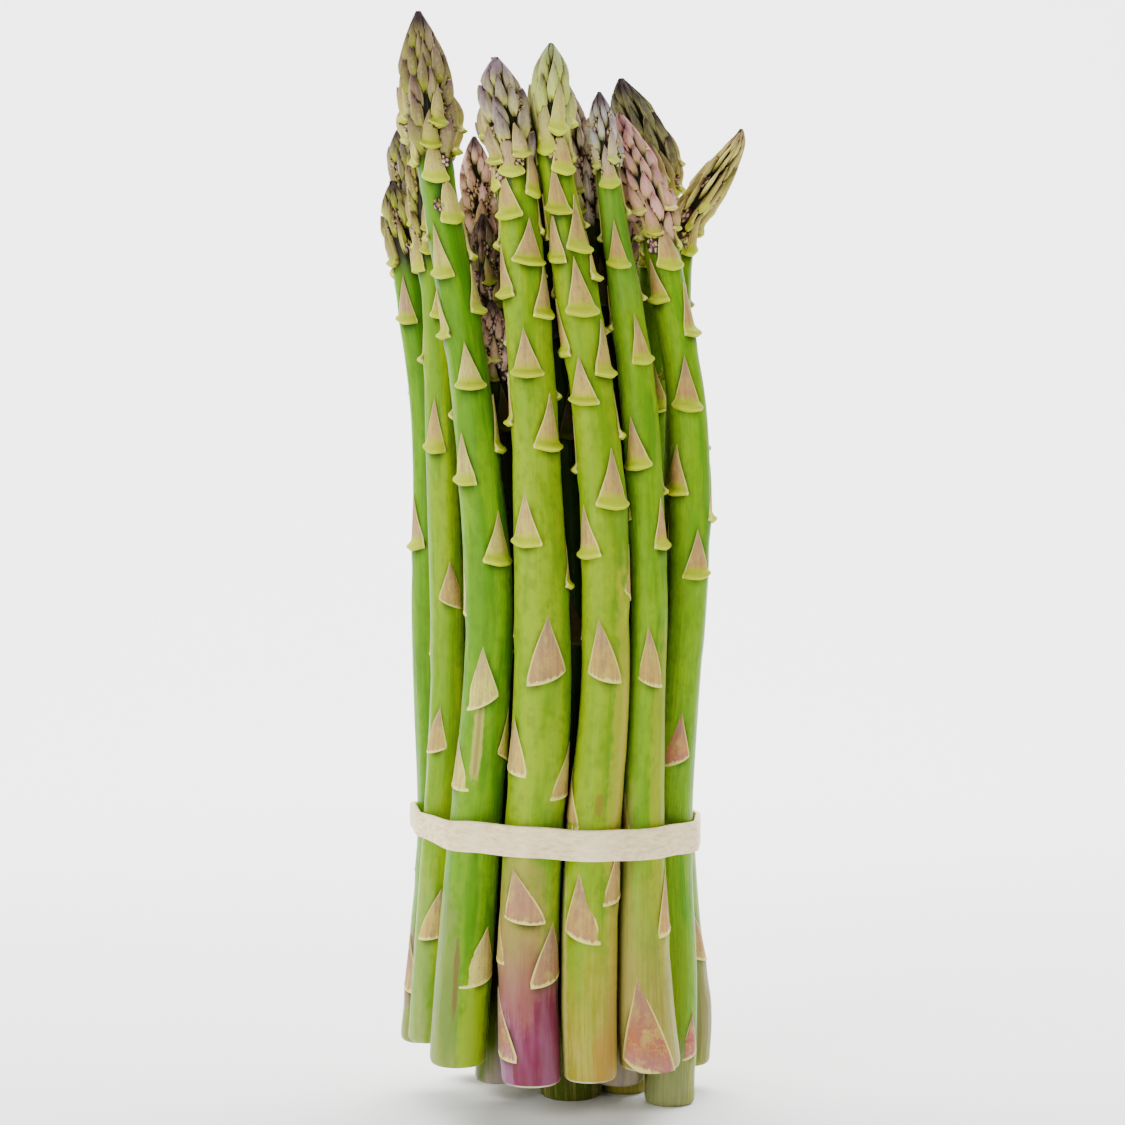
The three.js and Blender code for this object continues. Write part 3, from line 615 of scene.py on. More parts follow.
# %% [markdown]
# ## Scales and side buds of the tip
#
# A tip scale is widest a quarter of the way up and has three fine ribs. Between the scales the
# plant carries clusters of tiny side buds. A cluster is one shape too, with six beads pushed out of
# it, because hundreds of separate beads would cost far more faces for the same look.

# %% Scales and side buds of the tip
BEADS = [(-0.55, 0.2, 0.3), (0.35, 0.14, 0.28), (-0.05, 0.44, 0.32), (0.6, 0.5, 0.27),
         (-0.6, 0.68, 0.27), (0.15, 0.8, 0.26)]  # across, up and size of each bead


def tip_scale(name):
    ribs = profile((0, 1), (0.3, 0.75), (0.6, 0.6), (1, 0.3))
    return shape_mesh(
        name, TIP_SCALE,
        half_width=profile((0, 0.6), (0.1, 0.84), (0.26, 1), (0.45, 0.93), (0.65, 0.68), (0.82, 0.38),
                           (0.93, 0.17), (1, 0)),
        height=lambda u, v: ((0.04 + 0.72 * min(v / 0.4, 1)) * (1 - 0.9 * u * u) + 0.34 * v
                             - 0.4 * max(v - 0.8, 0) + 0.09 * ribs(v) * math.cos(2.5 * math.pi * u)),
        rows=[0, 0.1, 0.22, 0.36, 0.52, 0.66, 0.8, 0.92],
        columns=[-1, -0.86, -0.62, -0.4, -0.2, 0, 0.2, 0.4, 0.62, 0.86, 1],
        sink=-0.9,
    )


def bead(u, v):
    return max(math.exp(-((u - x) ** 2 + (2 * (v - y)) ** 2) / size ** 2) for x, y, size in BEADS)


def side_buds(name):
    return shape_mesh(
        name, SIDE_BUD,
        half_width=profile((0, 0.75), (0.3, 1), (0.7, 0.9), (1, 0)),
        height=lambda u, v: 0.25 + 0.75 * bead(u, v) * (1 - 0.4 * u * u),
        rows=[0, 0.1, 0.2, 0.32, 0.44, 0.56, 0.68, 0.8, 0.9],
        columns=[-1, -0.8, -0.55, -0.3, -0.05, 0.15, 0.35, 0.6, 0.8, 1],
        sink=-1.2,
        crease=lambda u, v: 1 - bead(u, v),
    )


KIND = dict(low_left=0, low_right=1, high=2, open=3, tip=4, buds=5)
shapes = bpy.data.collections.new("scale shapes")
for shape in (*leaf_shapes, tip_scale("4 tip scale"), side_buds("5 side buds")):
    shapes.objects.link(bpy.data.objects.new(shape.name, shape))

# %% [markdown]
# ## A helper for every node tree
#
# The tree that grows a spear and the groups that colour it are built the same way, so one helper
# adds a node, sets it and wires it in a single line.

# %% Node helpers


def put(tree, kind, settings=None, **values):
    """Add a node. Keys name its inputs, or say i0, i1, ... where names repeat."""
    node = tree.nodes.new(kind)
    for key, value in (settings or {}).items():
        setattr(node, key, value)
    for key, value in values.items():
        by_number = key[0] == "i" and key[1:].isdigit()
        socket = node.inputs[int(key[1:]) if by_number else key.replace("_", " ")]
        if isinstance(value, bpy.types.NodeSocket):
            tree.links.new(value, socket)
        else:
            socket.default_value = value
    return node


def reckon(tree, operation, a, b=0.0):
    return put(tree, "ShaderNodeMath", {"operation": operation}, i0=a, i1=b).outputs[0]


def plus(tree, a, b):
    return reckon(tree, "ADD", a, b)


def minus(tree, a, b):
    return reckon(tree, "SUBTRACT", a, b)


def times(tree, a, b):
    return reckon(tree, "MULTIPLY", a, b)


def arrows(tree, operation, a, b, output=0):
    """The same for arrows, which have a direction as well as a length."""
    key = "Scale" if operation == "SCALE" else "i1"
    return put(tree, "ShaderNodeVectorMath", {"operation": operation}, i0=a, **{key: b}).outputs[output]


print("helpers ready:", ", ".join(f.__name__ for f in (put, reckon, plus, minus, times, arrows)))

# %% [markdown]
# ## The tree, first half: scales on their seats
#
# Everything comes in unrolled, as (turn, climb, lift). Each point of the seats picks one of the six
# shapes by its number and gives it a size and a spin. The instances are turned into mesh at once
# and joined to the sleeve of the stem, because the bending that follows moves single points.

# %% Scales on their seats


def named(tree, name, kind):
    node = put(tree, "GeometryNodeInputNamedAttribute", {"data_type": kind}, Name=name)
    return node.outputs["Attribute"]


def scales_on_seats(tree, given):
    """Every scale and the sleeve of the stem in one mesh, still unrolled."""
    seats = put(tree, "GeometryNodeObjectInfo", Object=given["Seats"])
    kinds = put(tree, "GeometryNodeCollectionInfo", Collection=given["Shapes"],
                Separate_Children=True, Reset_Children=True)
    place = put(tree, "GeometryNodeInstanceOnPoints", Points=seats.outputs["Geometry"],
                Instance=kinds.outputs["Instances"], Pick_Instance=True,
                Instance_Index=named(tree, "kind", "INT"), Scale=named(tree, "size", "FLOAT_VECTOR"),
                Rotation=named(tree, "spin", "FLOAT_VECTOR"))
    solid = put(tree, "GeometryNodeRealizeInstances", Geometry=place.outputs["Instances"])
    join = put(tree, "GeometryNodeJoinGeometry", Geometry=solid.outputs["Geometry"])
    tree.links.new(given["Sleeve"], join.inputs["Geometry"])
    return join.outputs["Geometry"]


print("shapes to pick from:", KIND)

# %% [markdown]
# ## The tree, second half: wrapping round the spine
#
# Climb picks the place on the curve, the curve's own radius plus the lift gives the reach, and turn
# gives the direction. A curve modifier could bend the parts too, but it would not follow the taper
# of the tip. Sharp edges stay sharp, as the lip of a leaf is.

# %% The growing tree
MOST_LIFT = 0.8            # a scale stands off by no more than this share of the radius
INPUTS = dict(Sleeve="Geometry", Seats="Object", Shapes="Collection", Spine="Object",
              Roll_Radius="Float", Crease_Angle="Float", Skin="Material")


def wrapped(tree, given):
    """Where each unrolled point goes, which way it faces and how far it stands off the stem."""
    flat = put(tree, "GeometryNodeInputPosition").outputs[0]
    where = put(tree, "ShaderNodeSeparateXYZ", i0=flat).outputs
    turn = reckon(tree, "DIVIDE", where["X"], given["Roll Radius"])
    climb, lift = where["Y"], where["Z"]
    spine = put(tree, "GeometryNodeObjectInfo", Object=given["Spine"]).outputs["Geometry"]
    radius = put(tree, "GeometryNodeInputRadius").outputs[0]
    by_length = {"mode": "LENGTH", "data_type": "FLOAT", "use_all_curves": False}
    on_spine = put(tree, "GeometryNodeSampleCurve", by_length, Curves=spine, Value=radius,
                   Length=climb).outputs
    north = times(tree, reckon(tree, "COSINE", turn), -1.0)
    around = put(tree, "ShaderNodeCombineXYZ", i0=reckon(tree, "SINE", turn), i1=north).outputs[0]
    most = times(tree, on_spine["Value"], MOST_LIFT)
    reach = plus(tree, on_spine["Value"], reckon(tree, "MINIMUM", lift, most))
    place = arrows(tree, "ADD", arrows(tree, "SCALE", around, reach), on_spine["Position"])
    return place, around, lift


def growing_tree():
    tree = bpy.data.node_groups.new("Grow a spear", "GeometryNodeTree")
    for key, kind in INPUTS.items():
        label = key.replace("_", " ")
        tree.interface.new_socket(label, in_out="INPUT", socket_type="NodeSocket" + kind)
    tree.interface.new_socket("Spear", in_out="OUTPUT", socket_type="NodeSocketGeometry")
    given = tree.nodes.new("NodeGroupInput").outputs
    place, around, lift = wrapped(tree, given)
    mesh = scales_on_seats(tree, given)

    def then(kind, settings=None, **values):
        return put(tree, kind, settings, Geometry=mesh, **values).outputs[0]

    for name, kind, value in (("around", "FLOAT_VECTOR", around), ("lift", "FLOAT", lift)):
        mesh = then("GeometryNodeStoreNamedAttribute", {"data_type": kind}, Name=name, Value=value)
    mesh = then("GeometryNodeSetPosition", Position=place)
    mesh = then("GeometryNodeSetShadeSmooth")
    angle = put(tree, "GeometryNodeInputMeshEdgeAngle").outputs["Unsigned Angle"]
    sharp = put(tree, "FunctionNodeCompare", {"operation": "GREATER_THAN"}, A=angle,
                B=given["Crease Angle"]).outputs[0]
    mesh = then("GeometryNodeSetShadeSmooth", {"domain": "EDGE"}, Selection=sharp, Shade_Smooth=False)
    mesh = then("GeometryNodeRealizeInstances")
    mesh = then("GeometryNodeSetMaterial", Material=given["Skin"])
    tree.links.new(mesh, tree.nodes.new("NodeGroupOutput").inputs[0])
    return tree


GROW = growing_tree()
SOCKET = {item.name: item.identifier for item in GROW.interface.items_tree if item.in_out == "INPUT"}
print("tree inputs:", list(SOCKET))

# %% [markdown]
# ## The spine
#
# The spine is a plain curve up the middle of the spear, with the stem's radius on its points. Being
# a curve, it also answers how far along it a height is, which is the climb of the unrolled parts.

# %% Spine
SPINE_POINTS = 180


def spine_of(spear):
    """The spine as a curve, and the distance along it at each height."""
    heights = np.linspace(foot(spear), spear["apex"][0], SPINE_POINTS)
    x, y, _ = line_at(spear, heights)
    points = np.stack([x, y, heights], 1)
    curve = bpy.data.curves.new(spear["name"] + " spine", "CURVE")
    curve.dimensions = "3D"
    line = curve.splines.new("POLY")
    line.points.add(SPINE_POINTS - 1)
    for point, place in zip(line.points, points):
        point.co = (*(place * MM), 1)
        point.radius = core_radius(spear, place[2]) * MM
    steps = np.linalg.norm(np.diff(points, axis=0), axis=1)
    return show(curve.name, curve), heights, np.concatenate([[0], np.cumsum(steps)])


print("points on a spine:", SPINE_POINTS)

# %% [markdown]
# ## The sleeve
#
# The sleeve is the stem's skin, unrolled and closed at both ends. It has faint hollows and ridges,
# a rounded cut end, and a soft swelling where a scale leaf sits with a hollow below it. Turn is
# kept as a width, at `ROLL` millimetres a radian, so that a scale can be spun without shearing.

# %% Sleeve
STEM_SIDES = 40
RING_STEP = 1.6
ROLL = 5.0                 # millimetres of unrolled width for one radian of turn
CUT_END = {0: -0.8, 0.3: -0.36, 0.8: -0.1, 1.5: 0}  # climb: how far the edge is rounded off


def stem_relief(climbs, turns, phases):
    """Slow hollows and ridges round and along the stem."""
    return (0.07 * np.sin(3 * turns + phases[0] + climbs / 31)
            + 0.05 * np.sin(7 * turns + phases[1] - climbs / 23)
            + 0.05 * np.sin(climbs / 13 + phases[2] + 1.5 * np.sin(turns + phases[3])))


def sleeve_of(spear, climb_at, leaves, rng):
    """The skin of the stem and of the bud under the scales, unrolled."""
    length = climb_at(spear["apex"][0])
    climbs = np.concatenate([list(CUT_END), np.arange(2.6, length - 0.4, RING_STEP), [length]])
    turns = np.arange(STEM_SIDES) / STEM_SIDES * 2 * math.pi
    rounding = np.interp(climbs, list(CUT_END), list(CUT_END.values()))
    relief = stem_relief(climbs[:, None], turns[None], rng.uniform(0, 6.28, 4))
    for z, turn in leaves:
        off = np.angle(np.exp(1j * (turns - math.radians(turn))))
        near = np.exp(-(off / 0.8) ** 2)[None]
        up = climbs[:, None] - climb_at(z)
        relief += near * (0.22 * np.exp(-((up + 0.6) / 2.4) ** 2) - 0.12 * np.exp(-((up + 5) / 3) ** 2))
    fade = smooth_step(climbs, 0, 3) * (1 - smooth_step(climbs, length * 0.9, length))
    relief *= fade[:, None]
    points = [(t * ROLL * MM, c * MM, (rounding[r] + relief[r, s]) * MM)
              for r, c in enumerate(climbs) for s, t in enumerate(turns)]
    faces = [(r * STEM_SIDES + s, r * STEM_SIDES + (s + 1) % STEM_SIDES,
              (r + 1) * STEM_SIDES + (s + 1) % STEM_SIDES, (r + 1) * STEM_SIDES + s)
             for r in range(len(climbs) - 1) for s in range(STEM_SIDES)]
    count = len(points)
    faces += [tuple(reversed(range(STEM_SIDES))), tuple(range(count - STEM_SIDES, count))]
    plain = {key: [0] * count for key in ("rise", "edge", "part", "tint", "warm")}
    plain.update(part=[STEM] * count, tint=[0.5] * count)
    mesh = make_mesh(spear["name"] + " sleeve", points, faces, **plain)
    return show(mesh.name, mesh)


print("sides of a stem:", STEM_SIDES, "ring every", RING_STEP, "mm")

# %% [markdown]
# ## Seats
#
# A seat says where a scale goes, which shape it has, how large it is and how it is turned. Each is
# one row in a list, which becomes the points that the tree reads. Side buds have seats too, left or
# right of a scale, near its foot.

# %% Seats


def add_seat(seats, z, turn, shape, half_angle, long, lift, tilt=0.0, warm=0.0):
    seats.append((z, turn, KIND[shape], half_angle, long, lift, tilt, warm))


def buds_beside(seats, rng, z, turn, half, long, radius, number):
    for _ in range(number):
        side = rng.choice([-1, 1]) * math.degrees(half) * rng.uniform(0.7, 1.05)
        add_seat(seats, z + long * rng.uniform(0.05, 0.35), turn + side, "buds",
                 rng.uniform(1.1, 1.6) / max(radius, 1), rng.uniform(2.6, 4.2),
                 rng.uniform(0.7, 1.0) + radius * (1 - TIP_CORE) * 0.4, rng.uniform(-0.6, 0.6))


trial = []
buds_beside(trial, np.random.default_rng(SEED), 180, 0, 0.4, 6, 4, 3)
print("three clusters beside a scale at 180 mm:", [round(float(row[0]), 1) for row in trial])

# %% [markdown]
# ## Seats for the leaves
#
# The leaves follow a rule with a little chance in it. A few have their own size, since no two
# leaves at the foot of a real spear are alike.

# %% Leaf seats
# Leaves that do not follow the rule: (spear, height): shape, half width, length, spin, warmth.
ODD_LEAVES = {
    ("spear_left_tall", 84): ("low_right", 0.72, 11.5, 0.1, 0.1),
    ("spear_left_tall", 28): ("low_right", 0.8, 11, 0.0, 0.0),
    ("spear_front_thick", 89.5): ("low_right", 0.76, 12.5, 0.05, 0.5),
    ("spear_front_thick", 41): ("low_left", 0.76, 10.6, 0.15, 0.74),
    ("spear_front_thick", 29): ("low_right", 0.78, 11.5, 0.05, 0.74),
    ("spear_front_thick", 14): ("low_left", 0.85, 13, 0.0, 1.0),
    ("spear_front_pale", 89.5): ("low_left", 0.74, 12, 0.05, 0.4),
    ("spear_front_pale", 37.5): ("low_left", 0.72, 13, 0.0, 0.7),
    ("spear_front_teal", 88): ("low_left", 0.72, 11.5, 0.05, 0.3),
    ("spear_front_teal", 10.6): ("low_left", 1.0, 18.5, 0.0, 1.0),
    ("spear_right_long", 71): ("low_right", 0.7, 10, 0.0, 0.8),
    ("spear_right_long", 10.5): ("low_right", 0.5, 8.5, 0.0, 1.0),
}
LOW_LEAVES_UP_TO = 106     # height at which the flush leaves give way to the lipped ones


def leaf_seats(seats, spear, leaves, rng):
    top = shoulder(spear)
    tall = spear["apex"][0] - top
    for z, turn in leaves:
        radius = outline_radius(spear, z)
        half = LEAF_WIDTH * rng.uniform(0.88, 1.04)
        long = LEAF_LENGTH * (0.75 + 0.25 * radius / 5) * rng.uniform(0.86, 1.12)
        tilt = rng.uniform(-0.12, 0.12)
        warm = rng.uniform(0.1, 0.5) + 0.24 * (1 - smooth_step(z, 10, 60))
        shape = "high" if z > LOW_LEAVES_UP_TO else rng.choice(["low_left", "low_right"])
        if smooth_step(z, top - 0.8 * tall, top - 2) > 0.3:
            shape = "open"
            buds_beside(seats, rng, z, turn, half, long, radius, 1)
        if (spear["name"], z) in ODD_LEAVES:
            shape, half, long, tilt, warm = ODD_LEAVES[spear["name"], z]
        lift = {"high": 0.85 + 0.25 * smooth_step(z, 96, 150), "open": 1.0}.get(shape, 0.5)
        add_seat(seats, z, turn, shape, half, long, lift, tilt, warm)


print("leaves with a size of their own:", len(ODD_LEAVES))

# %% [markdown]
# ## Seats for the tip
#
# The tip goes on with the same spiral, and its scales grow shorter and narrower towards the apex.
# `TIP_STYLE` holds how many there are, how wide, long and open, and how thick the side buds stand
# between them: some tips are shut and smooth, others are breaking up.

# %% Tip seats
TIP_STYLE = {
    "usual": dict(many=56, wide=0.36, long=6.4, open=1.0, buds=1),
    "spear_left_tall": dict(many=60, wide=0.34, long=8.6, open=1.0, buds=0.5),
    "spear_front_pale": dict(many=40, wide=0.46, long=9.4, open=0.9, buds=0),
    "spear_front_thick": dict(many=50, wide=0.38, long=7, open=1.15, buds=0.5),
    "spear_right_long": dict(many=62, wide=0.34, long=6, open=1.1, buds=0.5),
    "spear_right_behind": dict(many=46, wide=0.3, long=10, open=0.9, buds=0),
    "spear_right_leaning": dict(many=64, wide=0.2, long=9, open=1.3, buds=0.5),
    "spear_left_edge": dict(many=44, wide=0.3, long=7, open=1.3, buds=1),
    "spear_inner_short": dict(many=66, wide=0.32, long=5, open=1.2, buds=2),
    "spear_inner_left": dict(many=56, wide=0.34, long=6, open=1.1, buds=2),
    "spear_back_left": dict(many=56, wide=0.36, long=6, open=1.2, buds=2),
}
USUAL_TIP = 24             # `many` is meant for a tip of this length in millimetres


def tip_seats(seats, spear, turn, rng):
    top, apex = shoulder(spear), spear["apex"][0]
    tall = apex - top
    style = TIP_STYLE.get(spear["name"], TIP_STYLE["usual"])
    count = round(style["many"] * tall / USUAL_TIP)
    for n in range(count):
        u = -0.1 + 1.04 * (1 - (1 - n / count) ** 1.3)
        turn += spear["hand"] * GOLDEN_STEP + rng.uniform(-9, 9)
        z = top + tall * u
        radius = outline_radius(spear, min(z + 2, apex))
        share = smooth_step(u, 0.35, 0.95)
        across = style["wide"] * spear["tip"] * (1 - 0.5 * share) * rng.uniform(0.84, 1.14)
        half = min(across / 2 / max(radius, 0.5), 1.15)
        long = style["long"] * (1 - 0.3 * share) * rng.uniform(0.82, 1.16)
        long = min(long, apex - z + rng.uniform(-0.6, 0.5))
        lift = (radius * (1 - TIP_CORE) + 0.35) * rng.uniform(0.85, 1.25) * style["open"]
        leafy = u < 0.22 and n % 2 == 0
        add_seat(seats, z, turn, "open" if leafy else "tip", half * (1.15 if leafy else 1), long, lift,
                 rng.uniform(-0.12, 0.12), rng.uniform(0, 0.6))
        if u < 0.45 and rng.random() < style["buds"]:
            buds_beside(seats, rng, z, turn, half, long, radius, max(round(style["buds"]), 1))


print("tips with a style of their own:", len(TIP_STYLE) - 1)

# %% [markdown]
# ## All seats as one mesh
#
# The tree can read any object's points, so the seats become a mesh of loose points. What a seat
# carries is an attribute, and its tint is drawn last, after all the sizes.

# %% Seats of a spear


def seats_of(spear, climb_at, leaves, rng):
    """All seats of a spear as the points of one mesh, unrolled, with what they carry."""
    seats = []
    leaf_seats(seats, spear, leaves, rng)
    tip_seats(seats, spear, leaves[-1][1], rng)
    z, turn, kind, half, long, lift, tilt, warm = zip(*seats)
    place = [(math.radians(a) * ROLL * MM, climb_at(b) * MM, 0) for a, b in zip(turn, z)]
    size = [(a * ROLL * MM, b * MM, c * MM) for a, b, c in zip(half, long, lift)]
    mesh = make_mesh(spear["name"] + " seats", place, [], size=size, spin=[(0, 0, a) for a in tilt],
                     tint=rng.random(len(seats)), warm=warm)
    mesh.attributes.new("kind", "INT", "POINT").data.foreach_set("value", kind)
    return show(mesh.name, mesh)


trial = []
tip_seats(trial, SPEARS[0], 0, np.random.default_rng(SEED))
print("seats in the tip of", SPEARS[0]["name"] + ":", len(trial))

# %% [markdown]
# ## Painted shade between the scales
#
# Between the scales, and under the lips of the leaves, shade is painted into the colour on top of
# what the light gives. It is measured on the finished mesh: each point gets the share of a few
# short rays from it that meet the spear again. A baked image could hold it too, but an attribute
# needs no unwrapping.

# %% Painted crevice shade
CREVICE_REACH = 2.4        # length of the rays in millimetres


def read_all(rows, key, wide=1):
    """A value of every row of a mesh's points, edges or attribute, as an array."""
    values = np.empty(len(rows) * wide)
    rows.foreach_get(key, values)
    return values.reshape(-1, wide) if wide > 1 else values


def crevice_shade_of(points, faces, around):
    """How shut in each point is, for painted shade: the share of short rays from it that meet the spear
    again.
    """
    tree = BVHTree.FromPolygons(points.tolist(), faces)
    out = np.concatenate([around[:, :2], np.zeros((len(around), 1))], 1)
    side = np.stack([-out[:, 1], out[:, 0], out[:, 2]], 1)
    up = np.array([0, 0, 1])
    blocked = np.zeros(len(points))
    looks = [out, out * 0.7 + side * 0.7, out * 0.7 - side * 0.7, out * 0.6 + up * 0.8,
             out * 0.75 - up * 0.65]
    for look in looks:
        starts = points + out * 0.06 + look * 0.04
        hits = [tree.ray_cast(a, b, CREVICE_REACH)[0] for a, b in zip(starts.tolist(), look.tolist())]
        blocked += [hit is not None for hit in hits]
    return blocked / len(looks)


def soften(mesh, values, rounds=3):
    """Spread the values over the smooth stem, where the points lie far apart."""
    part = read_all(mesh.attributes["part"].data, "value")
    ends = np.empty(len(mesh.edges) * 2, dtype=np.int32)
    mesh.edges.foreach_get("vertices", ends)
    a, b = ends.reshape(-1, 2).T
    count = np.bincount(ends, minlength=len(values))
    for _ in range(rounds):
        beside = np.bincount(a, values[b], len(values)) + np.bincount(b, values[a], len(values))
        values = np.where(part < 0.5, 0.4 * values + 0.6 * beside / np.maximum(count, 1), values)
    return values


print("rays from each point reach", CREVICE_REACH, "mm")

# %% [markdown]
# ## Painted shade where two spears touch
#
# Shade is painted in the same way along the lines where one stem lies on another. They need no
# rays, because the packed lines already say how far away the next stem is.

# %% Painted contact shade


def contact_shade_on(spear, points):
    """Painted contact shade: 1 where a neighbour lies against the point, falling to 0 a little way off.
    """
    gap = np.full(len(points), 9.0)
    z = points[:, 2]
    for other in SPEARS:
        if other is spear:
            continue
        x, y, wide = line_at(other, z)
        away = np.hypot(points[:, 0] - x, points[:, 1] - y) - wide
        beside = (z > foot(other)) & (z < other["apex"][0])
        gap = np.where(beside, np.minimum(gap, away), gap)
    return 1 - smooth_step(gap, 0.05, 1.3)


x, y, wide = line_at(SPEARS[0], 100)
print("pressed, for a point deep in the next stem:", contact_shade_on(SPEARS[1], np.array([[x, y, 100]])))

# %% [markdown]
# ## Growing a spear
#
# The tree runs once a spear, on the sleeve. Its inputs are set by the sockets' identifiers before
# anything is evaluated, its result is kept as a plain mesh and the helpers are thrown away.

# %% Growing
CREASE_ANGLE = 0.9         # edges bent by more than this many radians stay sharp


def grown_mesh(spear, skin, rng):
    """Spine, sleeve and seats of a spear, run through the tree and kept as a plain mesh."""
    leaves = leaves_of(spear)
    spine, heights, lengths = spine_of(spear)

    def climb_at(z):
        return float(np.interp(z, heights, lengths))

    sleeve = sleeve_of(spear, climb_at, leaves, rng)
    seats = seats_of(spear, climb_at, leaves, rng)
    tree = sleeve.modifiers.new("grow", "NODES")
    tree.node_group = GROW
    given = {"Seats": seats, "Shapes": shapes, "Spine": spine, "Roll Radius": ROLL * MM,
             "Crease Angle": CREASE_ANGLE, "Skin": skin}
    for name, value in given.items():
        tree[SOCKET[name]] = value
    sleeve.update_tag()
    graph = bpy.context.evaluated_depsgraph_get()
    mesh = bpy.data.meshes.new_from_object(sleeve.evaluated_get(graph), preserve_all_data_layers=True,
                                           depsgraph=graph)
    for helper in (sleeve, seats, spine):
        bpy.data.objects.remove(helper)
    return mesh


print("creases sharper than", round(math.degrees(CREASE_ANGLE)), "degrees stay sharp")

# %% [markdown]
# ## The finished mesh of a spear
#
# The points are cleared of the neighbours and kept above the ground. For the materials, `climb`
# runs from the foot to the apex, `above` is the height over the cut end in millimetres and `bud`
# marks the tip.

# %% Finished mesh


def grow(spear, skin, number):
    mesh = grown_mesh(spear, skin, np.random.default_rng(SEED + number))
    points = keep_clear(spear, read_all(mesh.vertices, "co", 3) / MM)
    points[:, 2] = np.maximum(points[:, 2], 0)
    mesh.vertices.foreach_set("co", (points * MM).ravel())
    around = read_all(mesh.attributes["around"].data, "vector", 3)
    crevice = crevice_shade_of(points, [tuple(f.vertices) for f in mesh.polygons], around)
    above = points[:, 2] - foot(spear)
    values = dict(
        climb=above / (spear["apex"][0] - foot(spear)),
        bud=smooth_step(points[:, 2], shoulder(spear) - 5, shoulder(spear) + 3),
        above=above,
        # Painted shade for the material: darker in crevices, and, in the next value, where stems touch.
        crevice=soften(mesh, crevice),
        pressed=contact_shade_on(spear, points),
    )
    for key, value in values.items():
        mesh.attributes.new(key, "FLOAT", "POINT").data.foreach_set("value", value)
    mesh.name = spear["name"]
    mesh.update()
    piece = show(spear["name"].replace("_", "-"), mesh)
    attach(piece, "root")
    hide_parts(spear["name"])
    return piece


print("spears to grow:", len(SPEARS))

# %% [markdown]
# ## Shader helpers
#
# Each finish is drawn from noise in the spear's own directions: `around` points away from its
# line, and the object's height runs along it. So fibres run up a leaning stem, not straight up.

# %% Shader helpers


def tone(red, green, blue):
    """A colour given as it looks on a screen, 0 to 255, turned into light."""
    values = [c / 255 for c in (red, green, blue)]
    return (*[c / 12.92 if c <= 0.04045 else ((c + 0.055) / 1.055) ** 2.4 for c in values], 1)


def blend(tree, share, a, b, mode="MIX"):
    node = put(tree, "ShaderNodeMix", {"data_type": "RGBA", "blend_type": mode}, i0=share, i6=a, i7=b)
    return node.outputs[2]


def ramp(tree, value, low, high, most=1.0):
    """A soft step from 0 to `most` as the value runs from low to high."""
    return put(tree, "ShaderNodeMapRange", {"interpolation_type": "SMOOTHSTEP"}, Value=value,
               From_Min=low, From_Max=high, To_Max=most).outputs[0]


def read(tree, name, output="Fac"):
    return put(tree, "ShaderNodeAttribute", {"attribute_name": name}).outputs[output]


def noise(tree, vector, scale, seed=0.0, detail=3.0, roughness=0.55):
    return put(tree, "ShaderNodeTexNoise", {"noise_dimensions": "4D"}, Vector=vector, Scale=scale, W=seed,
               Detail=detail, Roughness=roughness).outputs[0]


def brighten(tree, colour, by):
    return put(tree, "ShaderNodeHueSaturation", Color=colour, Value=by).outputs[0]


print("a mid grey of 128 as light:", round(tone(128, 128, 128)[0], 3))

# %% [markdown]
# ## Groups that materials share
#
# An effect that several materials use is built once, as a group with named sockets, and placed in
# each of them with its own values. Twenty copies of the same nodes would be slow to change.

# %% Shader groups


def group(name, colours=(), vectors=(), gives=("Colour",), **values):
    """A shader group with named sockets. Every other key is one of its value inputs."""
    tree = bpy.data.node_groups.new(name, "ShaderNodeTree")
    inputs = [(label, "Color", None) for label in colours]
    inputs += [(label, "Vector", None) for label in vectors]
    inputs += [(key.replace("_", " "), "Float", value) for key, value in values.items()]
    for label, kind, value in inputs:
        socket = tree.interface.new_socket(label, in_out="INPUT", socket_type="NodeSocket" + kind)
        if value is not None:
            socket.default_value = value
    for label in gives:
        kind = "Color" if label == "Colour" else "Float"
        tree.interface.new_socket(label, in_out="OUTPUT", socket_type="NodeSocket" + kind)
    return tree, tree.nodes.new("NodeGroupInput").outputs, tree.nodes.new("NodeGroupOutput").inputs


def use(tree, shared, **values):
    return put(tree, "ShaderNodeGroup", {"node_tree": shared}, **values).outputs


print("groups so far:", [tree.name for tree in bpy.data.node_groups])

# %% [markdown]
# ## Fibres, patches and specks
#
# One group gives all the plant's grain. Fibres are noise squeezed round the stem and stretched
# along it, and patches are broad bands of the same kind. Clouds are less stretched, specks are the
# rare dark dots of the skin, and the speckle is the fine freckling of a dried scale.

# %% Plant grain
GRAIN_KINDS = dict(         # stretch along the stem, scale, seed, detail, roughness
    Patch=(0.16, 0.32, 0.0, 2.0, 0.5),
    Cloud=(0.7, 0.55, 7.0, 4.0, 0.6),
    Speck=(0.8, 1.7, 3.0, 1.0, 0.4),
    Speckle=(0.55, 2.4, 5.0, 2.0, 0.6),
)


def object_height(tree):
    """Height above the ground in millimetres."""
    spot = put(tree, "ShaderNodeTexCoord").outputs["Object"]
    return times(tree, put(tree, "ShaderNodeSeparateXYZ", i0=spot).outputs["Z"], 1 / MM)


def plant_grain():
    tree, given, result = group("Plant grain", gives=("Fibre", *GRAIN_KINDS),
                                Seed=0.0, Fibre_Width=0.5, Stretch=0.05)
    height = object_height(tree)
    girth = arrows(tree, "SCALE", read(tree, "around", "Vector"), 5.0)
    fine = reckon(tree, "DIVIDE", 1.0, given["Fibre Width"])
    kinds = dict(GRAIN_KINDS, Fibre=(given["Stretch"], fine, 0.0, 3.0, 0.6))
    for label, (stretch, scale, seed, detail, roughness) in kinds.items():
        rise = put(tree, "ShaderNodeCombineXYZ", i2=times(tree, height, stretch)).outputs[0]
        place = arrows(tree, "ADD", girth, rise)
        grain = noise(tree, place, scale, plus(tree, given["Seed"], seed), detail, roughness)
        if label == "Speck":
            grain = ramp(tree, grain, 0.7, 0.78)
        tree.links.new(grain, result[label])
    return tree


